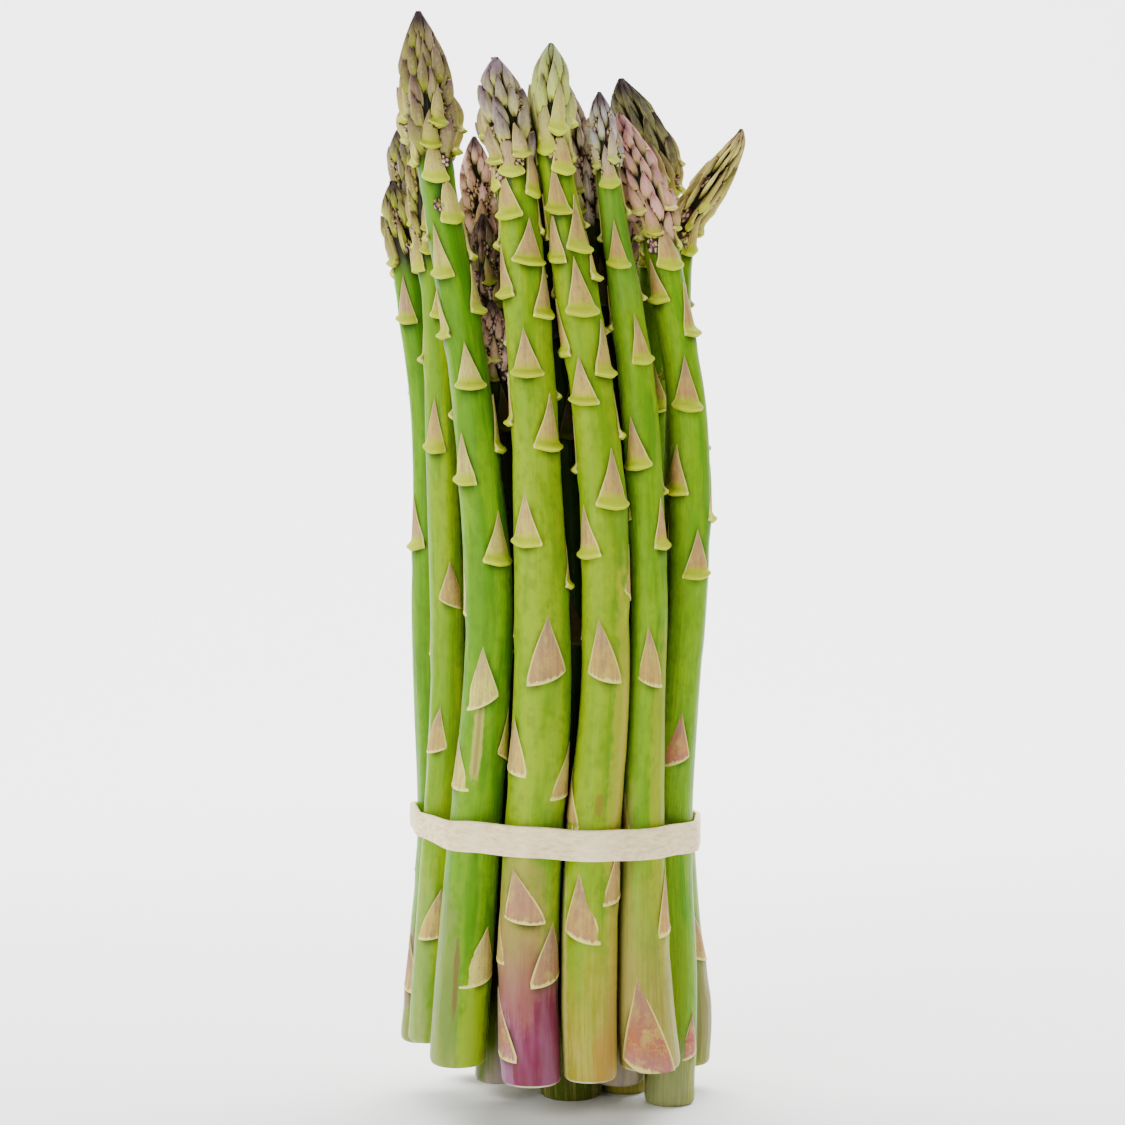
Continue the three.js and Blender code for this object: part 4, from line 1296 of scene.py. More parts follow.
PLANT_GRAIN = plant_grain()
print("nodes in the plant grain:", len(PLANT_GRAIN.nodes))

# %% [markdown]
# ## The skin of the stem
#
# The stem is green with lengthwise bands and fine streaks of pale bloom, and its left side, where
# the key light falls, is painted paler in the bloom colour: a painted sheen. Towards the foot, where
# it stood in the soil, it turns olive, pinkish or purple. All of those are inputs of the group, so
# every spear can have its own mix.

# %% Stem colour
SHADED_GREEN, STRAW, LILAC = tone(70, 108, 4), tone(206, 190, 110), tone(190, 140, 170)
OLIVE, SPECK_BROWN, CUT_RIM = tone(96, 104, 30), tone(84, 80, 30), tone(236, 228, 184)
# The side painted paler in the bloom colour: a painted sheen where the key light falls.
SHEEN_SIDE = (-0.86, -0.5, 0.0)


def stem_colour():
    tree, given, result = group(
        "Stem colour", colours=("Fresh", "Deep", "Bloom", "Foot", "Blush"), Bloom_Amount=0.5,
        Foot_Height=40.0, Blush_Height=0.0, Blotch=0.2, Rim=0.0, Fibre=0.5, Patch=0.5, Speck=0.0,
        Cloud=0.5,
    )
    fibre, patch, cloud = given["Fibre"], given["Patch"], given["Cloud"]
    deep, bloom, foot_tone, blush = given["Deep"], given["Bloom"], given["Foot"], given["Blush"]
    # Painted sheen: the left side, where the key light falls, turns towards the bloom colour.
    to_left = arrows(tree, "DOT_PRODUCT", read(tree, "around", "Vector"), SHEEN_SIDE, "Value")
    left = ramp(tree, plus(tree, to_left, minus(tree, patch, 0.5)), 0.2, 1.0, given["Bloom Amount"])
    green = blend(tree, ramp(tree, patch, 0.42, 0.6), given["Fresh"], deep)
    green = blend(tree, ramp(tree, fibre, 0.52, 0.7, 0.3), green, bloom)
    green = blend(tree, ramp(tree, fibre, 0.46, 0.3, 0.55), green, deep)
    green = blend(tree, left, green, bloom)
    blotch = ramp(tree, cloud, 0.46, 0.68, given["Blotch"])
    green = blend(tree, blotch, green, blend(tree, 0.55, deep, SHADED_GREEN))

    wander = times(tree, minus(tree, patch, 0.5), 44.0)
    fray = times(tree, minus(tree, fibre, 0.5), 10.0)
    loose = plus(tree, object_height(tree), plus(tree, wander, fray))
    low = ramp(tree, loose, given["Foot Height"], times(tree, given["Foot Height"], 0.2))
    pale_foot = blend(tree, 0.28, foot_tone, STRAW)
    colour = blend(tree, low, green, blend(tree, ramp(tree, fibre, 0.42, 0.62), foot_tone, pale_foot))
    lower = ramp(tree, minus(tree, loose, times(tree, wander, 0.6)), given["Blush Height"],
                 times(tree, given["Blush Height"], 0.5))
    pale_blush = blend(tree, 0.25, blush, LILAC)
    colour = blend(tree, lower, colour, blend(tree, ramp(tree, patch, 0.4, 0.64), blush, pale_blush))
    colour = blend(tree, ramp(tree, cloud, 0.4, 0.66, 0.14), colour, OLIVE)
    colour = blend(tree, times(tree, given["Speck"], 0.4), colour, SPECK_BROWN)
    rim = ramp(tree, read(tree, "above"), 0.55, 0.25, given["Rim"])
    tree.links.new(blend(tree, rim, colour, CUT_RIM), result["Colour"])
    return tree


STEM_COLOUR = stem_colour()
print("nodes in the stem colour:", len(STEM_COLOUR.nodes))

# %% [markdown]
# ## A mark on the skin
#
# Scars, rubs, sides of another colour and bands of painted shade are patches with ragged edges. One
# group lays one of them at a height and a facing, and a material may hold several in a row.

# %% Skin mark


def skin_mark():
    tree, given, result = group("Skin mark", colours=("Under", "Mark"), vectors=("Facing",), Strength=0.8,
                                Height=50.0, Tall=10.0, Wide=0.3, Fibre=0.5, Cloud=0.5)
    up = reckon(tree, "DIVIDE", minus(tree, object_height(tree), given["Height"]), given["Tall"])
    off = arrows(tree, "DISTANCE", read(tree, "around", "Vector"), given["Facing"], "Value")
    off = reckon(tree, "DIVIDE", off, given["Wide"])
    up = reckon(tree, "ABSOLUTE", up)
    away = plus(tree, reckon(tree, "POWER", up, 3.0), reckon(tree, "POWER", off, 3.0))
    rag = times(tree, minus(tree, plus(tree, given["Fibre"], given["Cloud"]), 1.0), 2.4)
    share = ramp(tree, plus(tree, away, rag), 1.3, 0.35, given["Strength"])
    tree.links.new(blend(tree, share, given["Under"], given["Mark"]), result["Colour"])
    return tree


SKIN_MARK = skin_mark()
print("nodes in a skin mark:", len(SKIN_MARK.nodes))

# %% [markdown]
# ## Scale leaves
#
# A scale leaf is a dry, speckled skin between tan and pink, with a pale seam along its margins and
# a bright lip where it leaves the stem. It is coloured from `rise` and `edge`, which run over every
# scale, and `warm` says how pink it has dried: the oldest also show folds of straw.

# %% Leaf colour
DRY_TAN, STRAND_BROWN, OLD_STRAW = tone(156, 130, 100), tone(128, 98, 80), tone(206, 172, 84)
OLD_PINK, FRECKLE, MIDRIB = tone(196, 132, 150), tone(150, 112, 96), tone(112, 86, 72)
HALF_GREEN = tone(184, 178, 78)


def leaf_colour():
    tree, given, result = group("Scale leaf colour", colours=("Body", "Warm Body", "Margin", "Lip"),
                                Lip_Height=0.3, Tint=0.5, Fibre=0.5, Speckle=0.5, Cloud=0.5)
    rise, edge, warm = read(tree, "rise"), read(tree, "edge"), read(tree, "warm")
    fibre, cloud = given["Fibre"], given["Cloud"]
    body = blend(tree, warm, given["Body"], given["Warm Body"])
    body = blend(tree, ramp(tree, rise, 0.25, 0.85, 0.65), body, DRY_TAN)
    body = blend(tree, ramp(tree, fibre, 0.46, 0.62, 0.6), body, blend(tree, 0.6, body, STRAND_BROWN))
    bent = plus(tree, times(tree, rise, 9.0), times(tree, cloud, 9.0))
    fold = put(tree, "ShaderNodeTexNoise", {"noise_dimensions": "1D"}, W=bent, Scale=1.0).outputs[0]
    old = ramp(tree, warm, 0.75, 1.0, 0.45)
    body = blend(tree, times(tree, ramp(tree, fold, 0.54, 0.64), old), body, OLD_STRAW)
    body = blend(tree, times(tree, ramp(tree, rise, 0.3, 0.0), old), body, OLD_PINK)
    body = blend(tree, ramp(tree, given["Speckle"], 0.54, 0.64, 0.5), body, FRECKLE)
    middle = times(tree, ramp(tree, edge, 0.62, 0.0), ramp(tree, cloud, 0.35, 0.65, 0.6))
    body = blend(tree, middle, body, blend(tree, 0.55, body, MIDRIB))
    body = blend(tree, ramp(tree, cloud, 0.52, 0.34, 0.5), body, HALF_GREEN)
    ragged = plus(tree, rise, times(tree, minus(tree, fibre, 0.5), 0.16))
    above_lip, in_lip = (times(tree, given["Lip Height"], share) for share in (1.35, 0.6))
    colour = blend(tree, ramp(tree, ragged, above_lip, in_lip, 0.92), body, given["Lip"])
    seam = ramp(tree, plus(tree, edge, times(tree, rise, 0.06)), 0.86, 0.96, 0.8)
    colour = blend(tree, seam, colour, given["Margin"])
    bright = plus(tree, 0.92, times(tree, given["Tint"], 0.16))
    tree.links.new(brighten(tree, colour, bright), result["Colour"])
    return tree


LEAF_COLOUR = leaf_colour()
print("nodes in the leaf colour:", len(LEAF_COLOUR.nodes))

# %% [markdown]
# ## Scales of the tip
#
# A tip scale is still fresh: green at its root, then olive, grey or mauve, and darkest at its
# point, with a thin pale edge. The last scales of all, at the apex, take a colour of their own.

# %% Tip colour
WAXY, PALE_EDGE = tone(232, 226, 196), tone(220, 214, 150)


def tip_colour():
    tree, given, result = group("Tip scale colour", colours=("Root", "Body", "Point", "Apex"), Tint=0.5,
                                Fibre=0.5, Speckle=0.5)
    rise, edge = read(tree, "rise"), read(tree, "edge")
    fibre, speckle, root, point = (given[key] for key in ("Fibre", "Speckle", "Root", "Point"))
    ruffle = times(tree, minus(tree, fibre, 0.5), 0.8)
    level = plus(tree, rise, plus(tree, ruffle, times(tree, given["Tint"], 0.3)))
    body = blend(tree, ramp(tree, fibre, 0.47, 0.6, 0.55), given["Body"], root)
    body = blend(tree, ramp(tree, fibre, 0.48, 0.36, 0.5), body, point)
    colour = blend(tree, ramp(tree, level, 0.2, 0.6), root, body)
    colour = blend(tree, ramp(tree, level, 0.7, 1.2), colour, point)
    colour = blend(tree, ramp(tree, speckle, 0.54, 0.66, 0.4), colour, point)
    colour = blend(tree, ramp(tree, speckle, 0.46, 0.34, 0.2), colour, blend(tree, 0.5, colour, WAXY))
    colour = blend(tree, ramp(tree, edge, 0.84, 0.97, 0.6), colour, PALE_EDGE)
    peak = ramp(tree, read(tree, "climb"), 0.975, 0.993, 0.9)
    colour = blend(tree, peak, colour, given["Apex"])
    bright = plus(tree, 0.8, times(tree, given["Tint"], 0.4))
    tree.links.new(brighten(tree, colour, bright), result["Colour"])
    return tree


TIP_COLOUR = tip_colour()
print("nodes in the tip colour:", len(TIP_COLOUR.nodes))

# %% [markdown]
# ## What differs from spear to spear
#
# `PLAIN` is the finish of any spear, `BY_SLOT` changes it for each kind of skin and `LOOKS` for
# each spear, as colours from 0 to 255 and heights in millimetres. `shade` is below one for spears
# in the heart of the bundle: it is painted shade that darkens their stems, less so near the ground.

# %% Looks of the spears
PLAIN = dict(fresh=(130, 159, 0), deep=(98, 140, 0), bloom=(152, 178, 6), bloom_amount=0.35,
             foot=(156, 148, 44), foot_height=34, blush=(150, 80, 84), blush_height=0, blotch=0.3,
             rim=0.0, body=(200, 178, 76), warm=(178, 124, 84), margin=(228, 216, 120), lip=(180, 196, 0),
             root=(170, 178, 34), scale=(144, 130, 78), point=(104, 78, 66), apex=(44, 26, 34),
             bead=(216, 184, 170), crease=(84, 52, 58), shade=1.0)
BY_SLOT = {
    "green_skin": dict(fresh=(90, 144, 0), deep=(52, 110, 0), bloom=(112, 158, 20), bloom_amount=0.4),
    "bright_skin": dict(),
    "teal_skin": dict(fresh=(118, 158, 0), deep=(86, 136, 0), bloom=(132, 174, 24), bloom_amount=0.45,
                      scale=(158, 142, 132)),
    "olive_skin": dict(fresh=(96, 116, 4), deep=(66, 88, 2), bloom=(116, 134, 40)),
}
# Painted shade for spears inside the bundle: a low `shade` and darker tip colours.
SHADED_INSIDE = dict(shade=0.1, scale=(118, 88, 88), root=(128, 116, 66), point=(66, 42, 50))
LOOKS = {
    "spear_left_tall": dict(fresh=(106, 152, 0), deep=(68, 124, 0), foot=(146, 166, 60), foot_height=22,
        body=(206, 196, 96), root=(144, 150, 26), scale=(134, 118, 84), point=(116, 88, 84), blotch=0.4,
        apex=(34, 18, 28), warm=(204, 190, 70)),
    "spear_left_middle": dict(fresh=(138, 164, 0), deep=(108, 146, 0), foot=(130, 146, 60)),
    "spear_front_thick": dict(foot=(156, 138, 52), foot_height=56, blush=(116, 34, 66), blush_height=44,
        root=(186, 184, 84), scale=(152, 138, 122), point=(100, 78, 92), apex=(120, 98, 110), rim=1.0,
        blotch=0.45, warm=(164, 106, 94)),
    "spear_front_pale": dict(fresh=(128, 157, 0), deep=(98, 140, 0), foot=(150, 142, 36), foot_height=50,
        root=(196, 208, 60), scale=(180, 188, 110), point=(142, 142, 104), apex=(150, 160, 104), rim=1.0),
    "spear_front_teal": dict(foot=(154, 134, 60), foot_height=60, blush=(176, 104, 70), blush_height=8,
        root=(184, 188, 116), scale=(184, 176, 180), point=(134, 114, 128), rim=1.0, warm=(180, 108, 74),
        apex=(62, 44, 56)),
    "spear_right_long": dict(fresh=(112, 156, 0), deep=(84, 140, 0), foot=(126, 134, 56), foot_height=22,
        root=(200, 168, 108), scale=(204, 152, 146), point=(168, 106, 116), apex=(170, 120, 116),
        warm=(180, 90, 84)),
    "spear_right_behind": dict(root=(150, 152, 84), scale=(110, 106, 80), point=(70, 62, 56)),
    "spear_right_leaning": dict(root=(210, 208, 86), scale=(200, 188, 112), point=(172, 148, 100),
        apex=(150, 128, 84), foot=(116, 124, 50), foot_height=40),
    "spear_left_edge": dict(foot=(116, 130, 56), root=(170, 184, 50), scale=(150, 146, 70),
        body=(196, 176, 128)),
    "spear_left_behind": dict(foot=(112, 100, 84), scale=(132, 118, 112), point=(88, 70, 80)),
    "spear_inner_short": dict(SHADED_INSIDE, scale=(232, 170, 170), root=(214, 190, 150), point=(96, 60, 70),
        foot=(150, 134, 128), foot_height=16, bead=(255, 214, 212), crease=(60, 36, 44)),
    "spear_inner_front": dict(SHADED_INSIDE, scale=(146, 130, 116), foot=(74, 86, 16), foot_height=20),
    "spear_inner_right": dict(SHADED_INSIDE, scale=(206, 186, 178), point=(140, 116, 122), foot=(156, 140, 134),
        foot_height=16),
    "spear_inner_left": SHADED_INSIDE,
    "spear_centre": SHADED_INSIDE,
    "spear_inner_dark": SHADED_INSIDE,
    "spear_back_left": dict(SHADED_INSIDE, shade=0.3, scale=(255, 204, 200), root=(230, 196, 140),
        point=(146, 96, 106), bead=(255, 208, 206), crease=(66, 40, 48)),
    "spear_back_middle": SHADED_INSIDE,
}
print("spears with a look of their own:", len(LOOKS))

# %% [markdown]
# ## Marks of the spears
#
# Scars and rubs are what tells real spears apart. Each mark is (height, turn, half height, half
# width in degrees, strength, colour). The dark green bands all round the stem just below the tips
# of spear_left_tall and spear_left_middle are painted shade.

# %% Marks of the spears
MARKS = {
    "spear_left_tall": [(76, -12, 8, 13, 0.8, (176, 166, 86)), (76, -12, 7, 5, 0.5, (120, 100, 40)),
        # Painted shade: the dark band all round the stem at 176 mm, below the tip.
        (18, -50, 28, 46, 0.6, (118, 126, 66)), (176, 0, 26, 180, 0.35, (56, 108, 0)),
        (29, -14, 9, 6, 0.75, (112, 84, 44)), (17, 30, 14, 32, 0.8, (136, 166, 0))],
    "spear_front_thick": [(10, -66, 14, 34, 0.5, (158, 116, 150)),
        (37, -30, 18, 60, 0.4, (160, 112, 84))],
    "spear_front_pale": [(36, 72, 56, 30, 0.5, (184, 144, 78)), (22, -80, 40, 26, 0.5, (196, 190, 110)),
        (64, 6, 2.4, 10, 0.8, (128, 110, 36)), (70, 62, 42, 40, 0.42, (188, 176, 40)),
        (12, 30, 8, 26, 0.55, (170, 120, 50))],
    "spear_front_teal": [(40, -50, 30, 24, 0.4, (170, 150, 90)), (180, 0, 18, 180, 0.25, (84, 132, 60)),
        (66, 58, 34, 40, 0.36, (184, 172, 36))],
    "spear_right_long": [(4, -20, 12, 60, 0.6, (120, 128, 90)), (26, 20, 12, 26, 0.6, (118, 146, 0))],
    # Painted shade: the dark band all round the stem at 172 mm, below the tip.
    "spear_left_middle": [(24, -40, 26, 36, 0.3, (140, 156, 96)), (172, 0, 16, 180, 0.35, (66, 116, 0))],
    "spear_left_edge": [(27, -60, 9, 44, 0.8, (128, 92, 76))],
    "spear_right_leaning": [(22, 60, 14, 60, 0.5, (134, 116, 84))],
}
print("marks:", sum(len(rows) for rows in MARKS.values()))

# %% [markdown]
# ## The colour of a whole spear
#
# The attribute `part` says whether a point is stem, leaf, tip scale or side bud, so one material
# serves a spear from its cut end to its apex. Separate materials would meet in hard lines where a
# leaf grows out of the stem. The parts are coloured one after the other, each over the last.

# %% Colour of a spear
# Painted shade under the tip's scales and deep in the tip, and the colour of a painted pale rim.
SHADE_UNDER_SCALES, CAVITY_SHADE, LIMB_LIGHT = tone(60, 52, 40), tone(46, 34, 26), tone(206, 214, 130)
# Colours multiplied in as painted shade: in crevices, and where one stem lies against another.
CREVICE_SHADE_GREEN, CREVICE_SHADE_BROWN = tone(96, 116, 50), tone(78, 56, 48)
CONTACT_SHADE_GREEN = tone(116, 124, 82)
FIBRE_WIDTH, FIBRE_STRETCH = 0.55, 0.05


def from_part(tree, part, most=1.0):
    """`most` where the attribute `part` is at least the given part, and 0 below it."""
    return ramp(tree, read(tree, "part"), part - 0.6, part - 0.4, most)


def stem_with_marks(tree, spear, look, grain):
    def texture(*names):
        return {name: grain[name] for name in names}

    stem = use(tree, STEM_COLOUR, Fresh=look["fresh"], Deep=look["deep"], Bloom=look["bloom"],
               Bloom_Amount=look["bloom_amount"], Foot=look["foot"], Foot_Height=look["foot_height"],
               Blush=look["blush"], Blush_Height=look["blush_height"], Blotch=look["blotch"],
               Rim=look["rim"], **texture("Fibre", "Patch", "Speck", "Cloud"))[0]
    for height, turn, tall, wide, strength, colour in MARKS.get(spear["name"], []):
        a = math.radians(turn)
        stem = use(tree, SKIN_MARK, Under=stem, Mark=tone(*colour), Strength=strength, Height=height,
                   Tall=tall, Facing=(math.sin(a), -math.cos(a), 0.0), Wide=math.radians(wide),
                   **texture("Fibre", "Cloud"))[0]
    return stem


def all_parts(tree, look, grain, stem):
    """Stem, leaves, tip scales and side buds, each in its own colour."""
    fine = dict(Tint=read(tree, "tint"), Fibre=grain["Fibre"], Speckle=grain["Speckle"])
    is_high = from_part(tree, HIGH_LEAF)
    lip = blend(tree, is_high, look["margin"], look["lip"])
    leaf = use(tree, LEAF_COLOUR, Body=look["body"], Warm_Body=look["warm"], Margin=look["margin"],
               Lip=lip, Lip_Height=plus(tree, 0.05, times(tree, is_high, 0.17)), Cloud=grain["Cloud"],
               **fine)[0]
    scale = use(tree, TIP_COLOUR, Root=look["root"], Body=look["scale"], Point=look["point"],
                Apex=look["apex"], **fine)[0]
    in_bud = read(tree, "bud")
    near_bud = blend(tree, times(tree, in_bud, 0.5), leaf, scale)
    # Painted shade: the stem under the tip's scales is darkened.
    colour = blend(tree, from_part(tree, LOW_LEAF), blend(tree, in_bud, stem, SHADE_UNDER_SCALES), near_bud)
    colour = blend(tree, from_part(tree, TIP_SCALE), colour, scale)
    beads = blend(tree, ramp(tree, grain["Cloud"], 0.4, 0.62), look["bead"], look["root"])
    # Painted shade between the beads, in the crease colour; the next line uses it for random freckles.
    beads = blend(tree, ramp(tree, read(tree, "edge"), 0.3, 0.8), beads, look["crease"])
    beads = blend(tree, ramp(tree, grain["Speckle"], 0.52, 0.62), beads, look["crease"])
    return blend(tree, from_part(tree, SIDE_BUD), colour, beads)


print("parts told apart:", SIDE_BUD + 1)

# %% [markdown]
# ## Painted shade, limb light and surface
#
# Over the colour lie painted shade in the gaps and creases and where stems touch, a painted pale
# rim where the smooth stem turns away, and painted shade on the spears inside the bundle. The
# surface itself is a soft wax: a low shine, rougher on the dry scales, with the fibres as a fine
# relief.

# %% Finish of a spear


def shaded(tree, look, colour):
    # Painted shade: points of tip scales and side buds that lie close to the bud are darkened.
    gap = times(tree, ramp(tree, read(tree, "lift"), 0.0008, 0.0001), from_part(tree, TIP_SCALE, 0.75))
    colour = blend(tree, gap, colour, CAVITY_SHADE)
    # Painted rim light: stem and leaves turn pale where their surface turns away from the view.
    facing = put(tree, "ShaderNodeLayerWeight", Blend=0.5).outputs["Facing"]
    not_tip = ramp(tree, read(tree, "part"), TIP_SCALE - 0.4, TIP_SCALE - 0.6, 0.4)
    colour = blend(tree, times(tree, ramp(tree, facing, 0.8, 0.97), not_tip), colour, LIMB_LIGHT)
    # Painted shade: darker in the crevices found by the rays.
    dark = blend(tree, from_part(tree, LOW_LEAF), CREVICE_SHADE_GREEN, CREVICE_SHADE_BROWN)
    colour = blend(tree, ramp(tree, read(tree, "crevice"), 0.05, 0.7), colour, dark, "MULTIPLY")
    # Painted shade along the lines where one stem lies against another.
    colour = blend(tree, read(tree, "pressed"), colour, CONTACT_SHADE_GREEN, "MULTIPLY")
    # Painted shade on the spears inside the bundle, lighter in the bud and near the ground.
    if look["shade"] < 1:
        lit = put(tree, "ShaderNodeMapRange", Value=read(tree, "bud"), To_Min=look["shade"], To_Max=1.0)
        near_ground = ramp(tree, read(tree, "above"), 22.0, 8.0, 0.8)
        colour = brighten(tree, colour, reckon(tree, "MAXIMUM", lit.outputs[0], near_ground))
    return colour


def spear_skin(spear, number):
    look = {**PLAIN, **BY_SLOT[spear["slot"]], **LOOKS.get(spear["name"], {})}
    look = {key: tone(*value) if isinstance(value, tuple) else value for key, value in look.items()}
    material = bpy.data.materials.new(spear["name"].replace("_", " ") + " skin")
    material.use_nodes = True
    tree = material.node_tree
    shader = tree.nodes["Principled BSDF"]
    grain = use(tree, PLANT_GRAIN, Seed=number * 3.7, Fibre_Width=FIBRE_WIDTH, Stretch=FIBRE_STRETCH)
    colour = all_parts(tree, look, grain, stem_with_marks(tree, spear, look, grain))
    tree.links.new(shaded(tree, look, colour), shader.inputs["Base Color"])
    rough = plus(tree, 0.27, from_part(tree, LOW_LEAF, 0.22))
    tree.links.new(plus(tree, rough, times(tree, grain["Cloud"], 0.16)), shader.inputs["Roughness"])
    shader.inputs["Specular IOR Level"].default_value = 0.1
    relief = plus(tree, grain["Fibre"], times(tree, grain["Cloud"], 0.6))
    relief = plus(tree, relief, times(tree, grain["Speckle"], from_part(tree, LOW_LEAF, 0.7)))
    bump = put(tree, "ShaderNodeBump", Strength=0.4, Distance=0.0004, Height=relief)
    tree.links.new(bump.outputs[0], shader.inputs["Normal"])
    return material


for number, spear in enumerate(SPEARS):
    piece = grow(spear, spear_skin(spear, number), number)
    if number < 3:
        print(piece.name, len(piece.data.vertices), "points,", len(piece.data.polygons), "faces")

# %% [markdown]
# ## The path of the band
#
# The band is a flat loop of natural rubber, stretched round the outer stems. Its path is the hull
# of the stems at its level: straight where it spans a gap and bent where it lies on a stem. A
# physics cloth would find the same line, but the hull gives it at once and the same every time.

# %% Path of the band
HULL_DOTS = 720            # points on each stem's circle
BAND_STEPS = 420           # places along the band


def hull_path(circles):
    """The line round all circles (x, y, radius), as points an equal distance apart."""
    turns = np.linspace(0, 2 * math.pi, HULL_DOTS + 1)[:-1]
    rings = [np.stack([x + r * np.cos(turns), y + r * np.sin(turns)], 1) for x, y, r in circles]
    dots = np.concatenate(rings)
    dots = dots[np.lexsort((dots[:, 1], dots[:, 0]))]
    sides = []
    for order in (dots, dots[::-1]):
        chain = []
        for dot in order:
            while len(chain) > 1 and np.cross(chain[-1] - chain[-2], dot - chain[-2]) <= 0:
                chain.pop()
            chain.append(dot)
        sides += chain[:-1]
    ring = np.array(sides + sides[:1])
    along_ring = np.concatenate([[0], np.cumsum(np.linalg.norm(np.diff(ring, axis=0), axis=1))])
    at = np.linspace(0, along_ring[-1], BAND_STEPS + 1)[:-1]
    return np.stack([np.interp(at, along_ring, ring[:, c]) for c in (0, 1)], 1)


stems = []
for s in SPEARS:
    x, y, _ = line_at(s, BAND_HEIGHT)
    reach = outline_radius(s, BAND_HEIGHT) + BAND_GAP + BAND_THICKNESS / 2
    stems.append((float(x), float(y), reach))
band_path = hull_path(stems)
band_length = np.linalg.norm(band_path - np.roll(band_path, 1, axis=0), axis=1).sum()
print("the band is", round(float(band_length)), "mm round")

# %% [markdown]
# ## Natural rubber
#
# Undyed rubber is cream, dusty and slightly scuffed, with a dull shine. Two noises do it: a slanted
# one for the scuffs, which also gives the relief, and a broad one for the uneven colour.

# %% Natural rubber
CREAM, SCUFFED, POWDERED = tone(250, 232, 178), tone(216, 190, 138), tone(254, 240, 196)


def band_skin():
    material = bpy.data.materials.new("natural rubber")
    material.use_nodes = True
    tree = material.node_tree
    shader = tree.nodes["Principled BSDF"]
    spot = put(tree, "ShaderNodeTexCoord").outputs["Object"]
    lean = put(tree, "ShaderNodeMapping", Vector=spot, Rotation=(0, 0.5, 0), Scale=(500, 500, 1400))
    scuff = noise(tree, lean.outputs[0], 0.9, 1.0, 4.0, 0.65)
    uneven = noise(tree, spot, 90.0, 2.0, 3.0, 0.5)
    colour = blend(tree, ramp(tree, scuff, 0.35, 0.7), CREAM, SCUFFED)
    colour = blend(tree, ramp(tree, uneven, 0.4, 0.7, 0.4), colour, POWDERED)
    tree.links.new(colour, shader.inputs["Base Color"])
    tree.links.new(plus(tree, 0.55, times(tree, scuff, 0.25)), shader.inputs["Roughness"])
    bump = put(tree, "ShaderNodeBump", Strength=0.3, Distance=0.0003, Height=scuff)
    tree.links.new(bump.outputs[0], shader.inputs["Normal"])
    return material


rubber = band_skin()
print("nodes in the rubber:", len(rubber.node_tree.nodes))

# %% [markdown]
# ## The rubber band
#
# A rounded rectangle is swept along the path. The band rolls and waves a little, as one put on by
# hand, and it is narrower on the left, where it turns away.

# %% Rubber band
CORNER = 0.32              # radius of the band's edges


def band_section():
    half_w, half_t = BAND_WIDTH / 2 - CORNER, BAND_THICKNESS / 2 - CORNER
    section = []
    for n, (side_x, side_z) in enumerate([(1, -1), (1, 1), (-1, 1), (-1, -1)]):
        for step in range(4):
            angle = math.radians(-90 + 90 * n + 30 * step)
            section.append((side_x * half_t + CORNER * math.cos(angle),
                            side_z * half_w + CORNER * math.sin(angle)))
        if n in (0, 2):
            spread = np.linspace(side_z * half_w, -side_z * half_w, 8)[1:-1]
            section += [(side_x * (half_t + CORNER), float(z)) for z in spread]
    return section


def rubber_band(path):
    ahead = np.roll(path, -1, axis=0) - np.roll(path, 1, axis=0)
    outward = np.stack([ahead[:, 1], -ahead[:, 0]], 1) / np.linalg.norm(ahead, axis=1)[:, None]
    section = band_section()
    points, faces, size = [], [], len(section)
    for n in range(BAND_STEPS):
        turn = 2 * math.pi * n / BAND_STEPS
        wave = 0.16 * math.sin(5 * turn + 1) + 0.1 * math.sin(13 * turn)
        narrow = 1 - 0.22 * smooth_step(-path[n][0], 18, 30)
        for out, up in section:
            x, y = path[n] + outward[n] * out
            points.append((x * MM, y * MM, (band_level(x) + up * narrow + wave) * MM))
        after = (n + 1) % BAND_STEPS
        for k in range(size):
            j = (k + 1) % size
            faces.append((n * size + k, after * size + k, after * size + j, n * size + j))
    mesh = make_mesh("rubber_band", points, faces)
    mesh.shade_smooth()
    mesh.materials.append(rubber)
    piece = show("rubber-band", mesh)
    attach(piece, "root")
    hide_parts("rubber_band")
    return piece


band = rubber_band(band_path)
print("rubber band:", len(band.data.polygons), "faces")

# %% [markdown]
# ## Floor and backdrop
#
# A plain pale floor runs up into a backdrop in one sheet, with a round bend instead of a corner, so
# that no line shows behind the bundle.

# %% Backdrop
SHEET_SIDE = 2.5           # metres to either side, and in front
BEND_START, BEND_RADIUS, SHEET_TOP = 0.4, 0.5, 2.4
PAPER = dict(Base_Color=(0.9, 0.9, 0.9, 1), Roughness=0.9, Specular_IOR_Level=0.1)


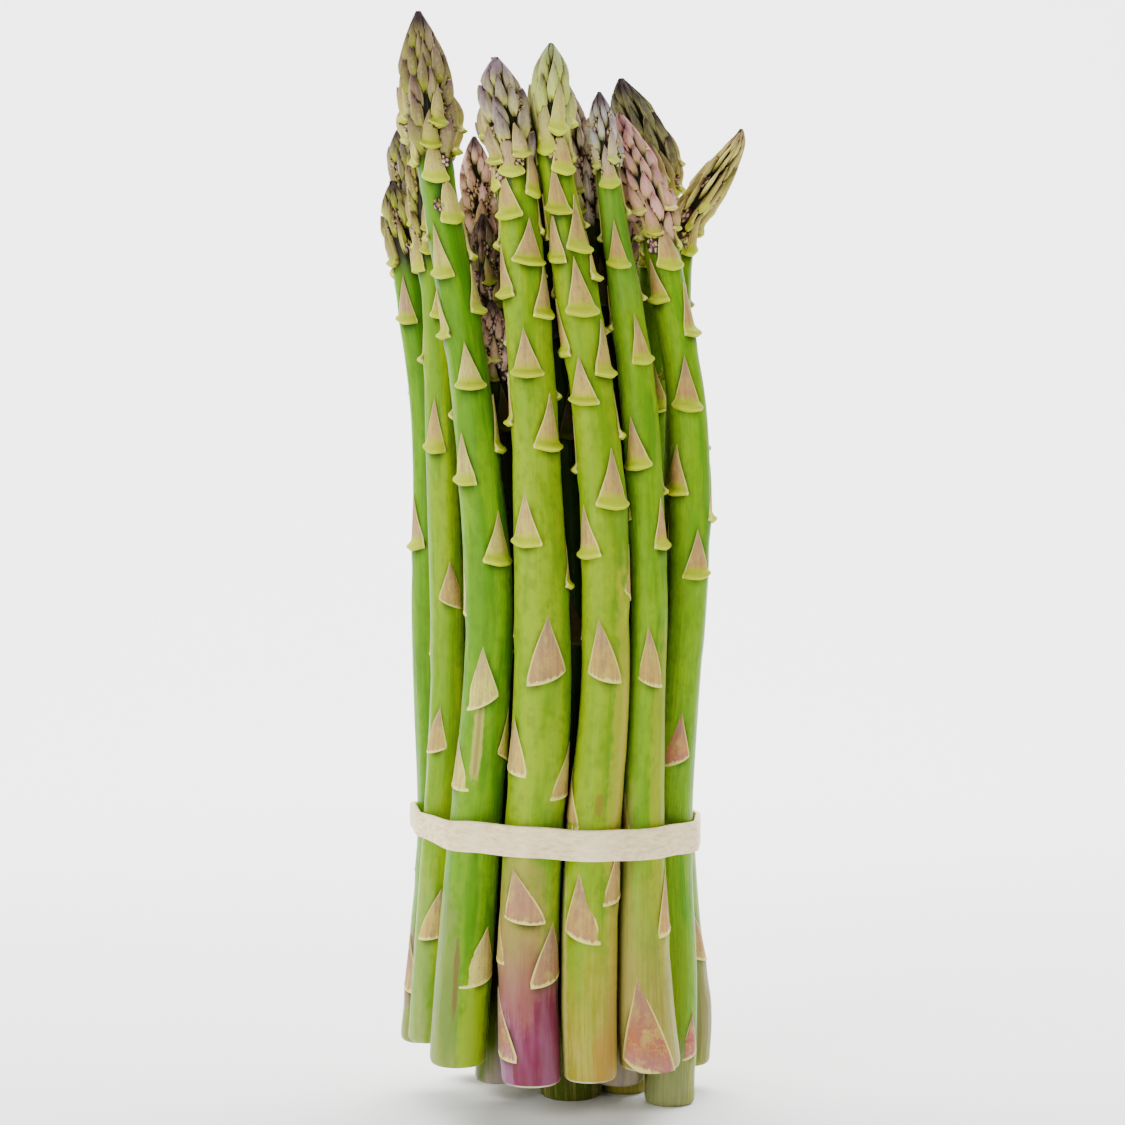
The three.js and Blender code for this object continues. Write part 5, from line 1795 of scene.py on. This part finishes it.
def backdrop():
    bend = [(BEND_START + BEND_RADIUS * math.sin(a), BEND_RADIUS - BEND_RADIUS * math.cos(a))
            for a in np.linspace(0.15, math.pi / 2, 10)]
    fall = [(-SHEET_SIDE, 0), (BEND_START, 0), *bend, (BEND_START + BEND_RADIUS, SHEET_TOP)]
    points = [(x, y, z) for y, z in fall for x in (-SHEET_SIDE, SHEET_SIDE)]
    faces = [(2 * n, 2 * n + 1, 2 * n + 3, 2 * n + 2) for n in range(len(fall) - 1)]
    mesh = make_mesh("backdrop", points, faces)
    mesh.shade_smooth()
    paper = bpy.data.materials.new("backdrop paper")
    paper.use_nodes = True
    for key, value in PAPER.items():
        paper.node_tree.nodes["Principled BSDF"].inputs[key.replace("_", " ")].default_value = value
    mesh.materials.append(paper)
    show("backdrop", mesh)
    return mesh


sheet = backdrop()
print("backdrop:", len(sheet.polygons), "faces")

# %% [markdown]
# ## Light and camera
#
# One big soft light stands to the left of the camera, a weaker one fills the right, and a third
# lights the backdrop. The world lifts the shadows, so that they stay soft. The camera is a long
# lens, a little above the middle of the bundle, so that the spears stay upright in the view.

# %% Light and camera
LIGHTS = {                 # place, aim, size, power
    "key": ((-0.65, -0.8, 0.45), (0, 0, 0.11), (0.6, 0.8), 10.6),
    "fill": ((0.9, -0.7, 0.3), (0, 0, 0.11), (0.6, 0.7), 1.2),
    "back": ((0, 0.5, 0.9), (0, 0.5, 0), (1.8, 0.8), 52),
}
WORLD_LIGHT = 0.26
LENS, SENSOR = 101.1, 36
EYE_PLACE, EYE_AIM = (0, -0.65, 0.160), (0.0005, 0, 0.1106)


def aim_at(made, place, target):
    made.location = place
    made.rotation_euler = (Vector(target) - Vector(place)).to_track_quat("-Z", "Y").to_euler()


for name, (place, target, size, power) in LIGHTS.items():
    lamp = bpy.data.lights.new(name, "AREA")
    lamp.shape = "RECTANGLE"
    lamp.size, lamp.size_y = size
    lamp.energy = power
    aim_at(show(name, lamp), place, target)

world = bpy.data.worlds.new("studio")
world.use_nodes = True
sky = world.node_tree.nodes["Background"].inputs
sky["Color"].default_value = (1, 1, 1, 1)
sky["Strength"].default_value = WORLD_LIGHT
bpy.context.scene.world = world

eye = bpy.data.cameras.new("camera")
eye.lens, eye.sensor_width = LENS, SENSOR
camera = show("camera", eye)
aim_at(camera, EYE_PLACE, EYE_AIM)
bpy.context.scene.camera = camera
print("lights:", list(LIGHTS), "camera at", EYE_PLACE)
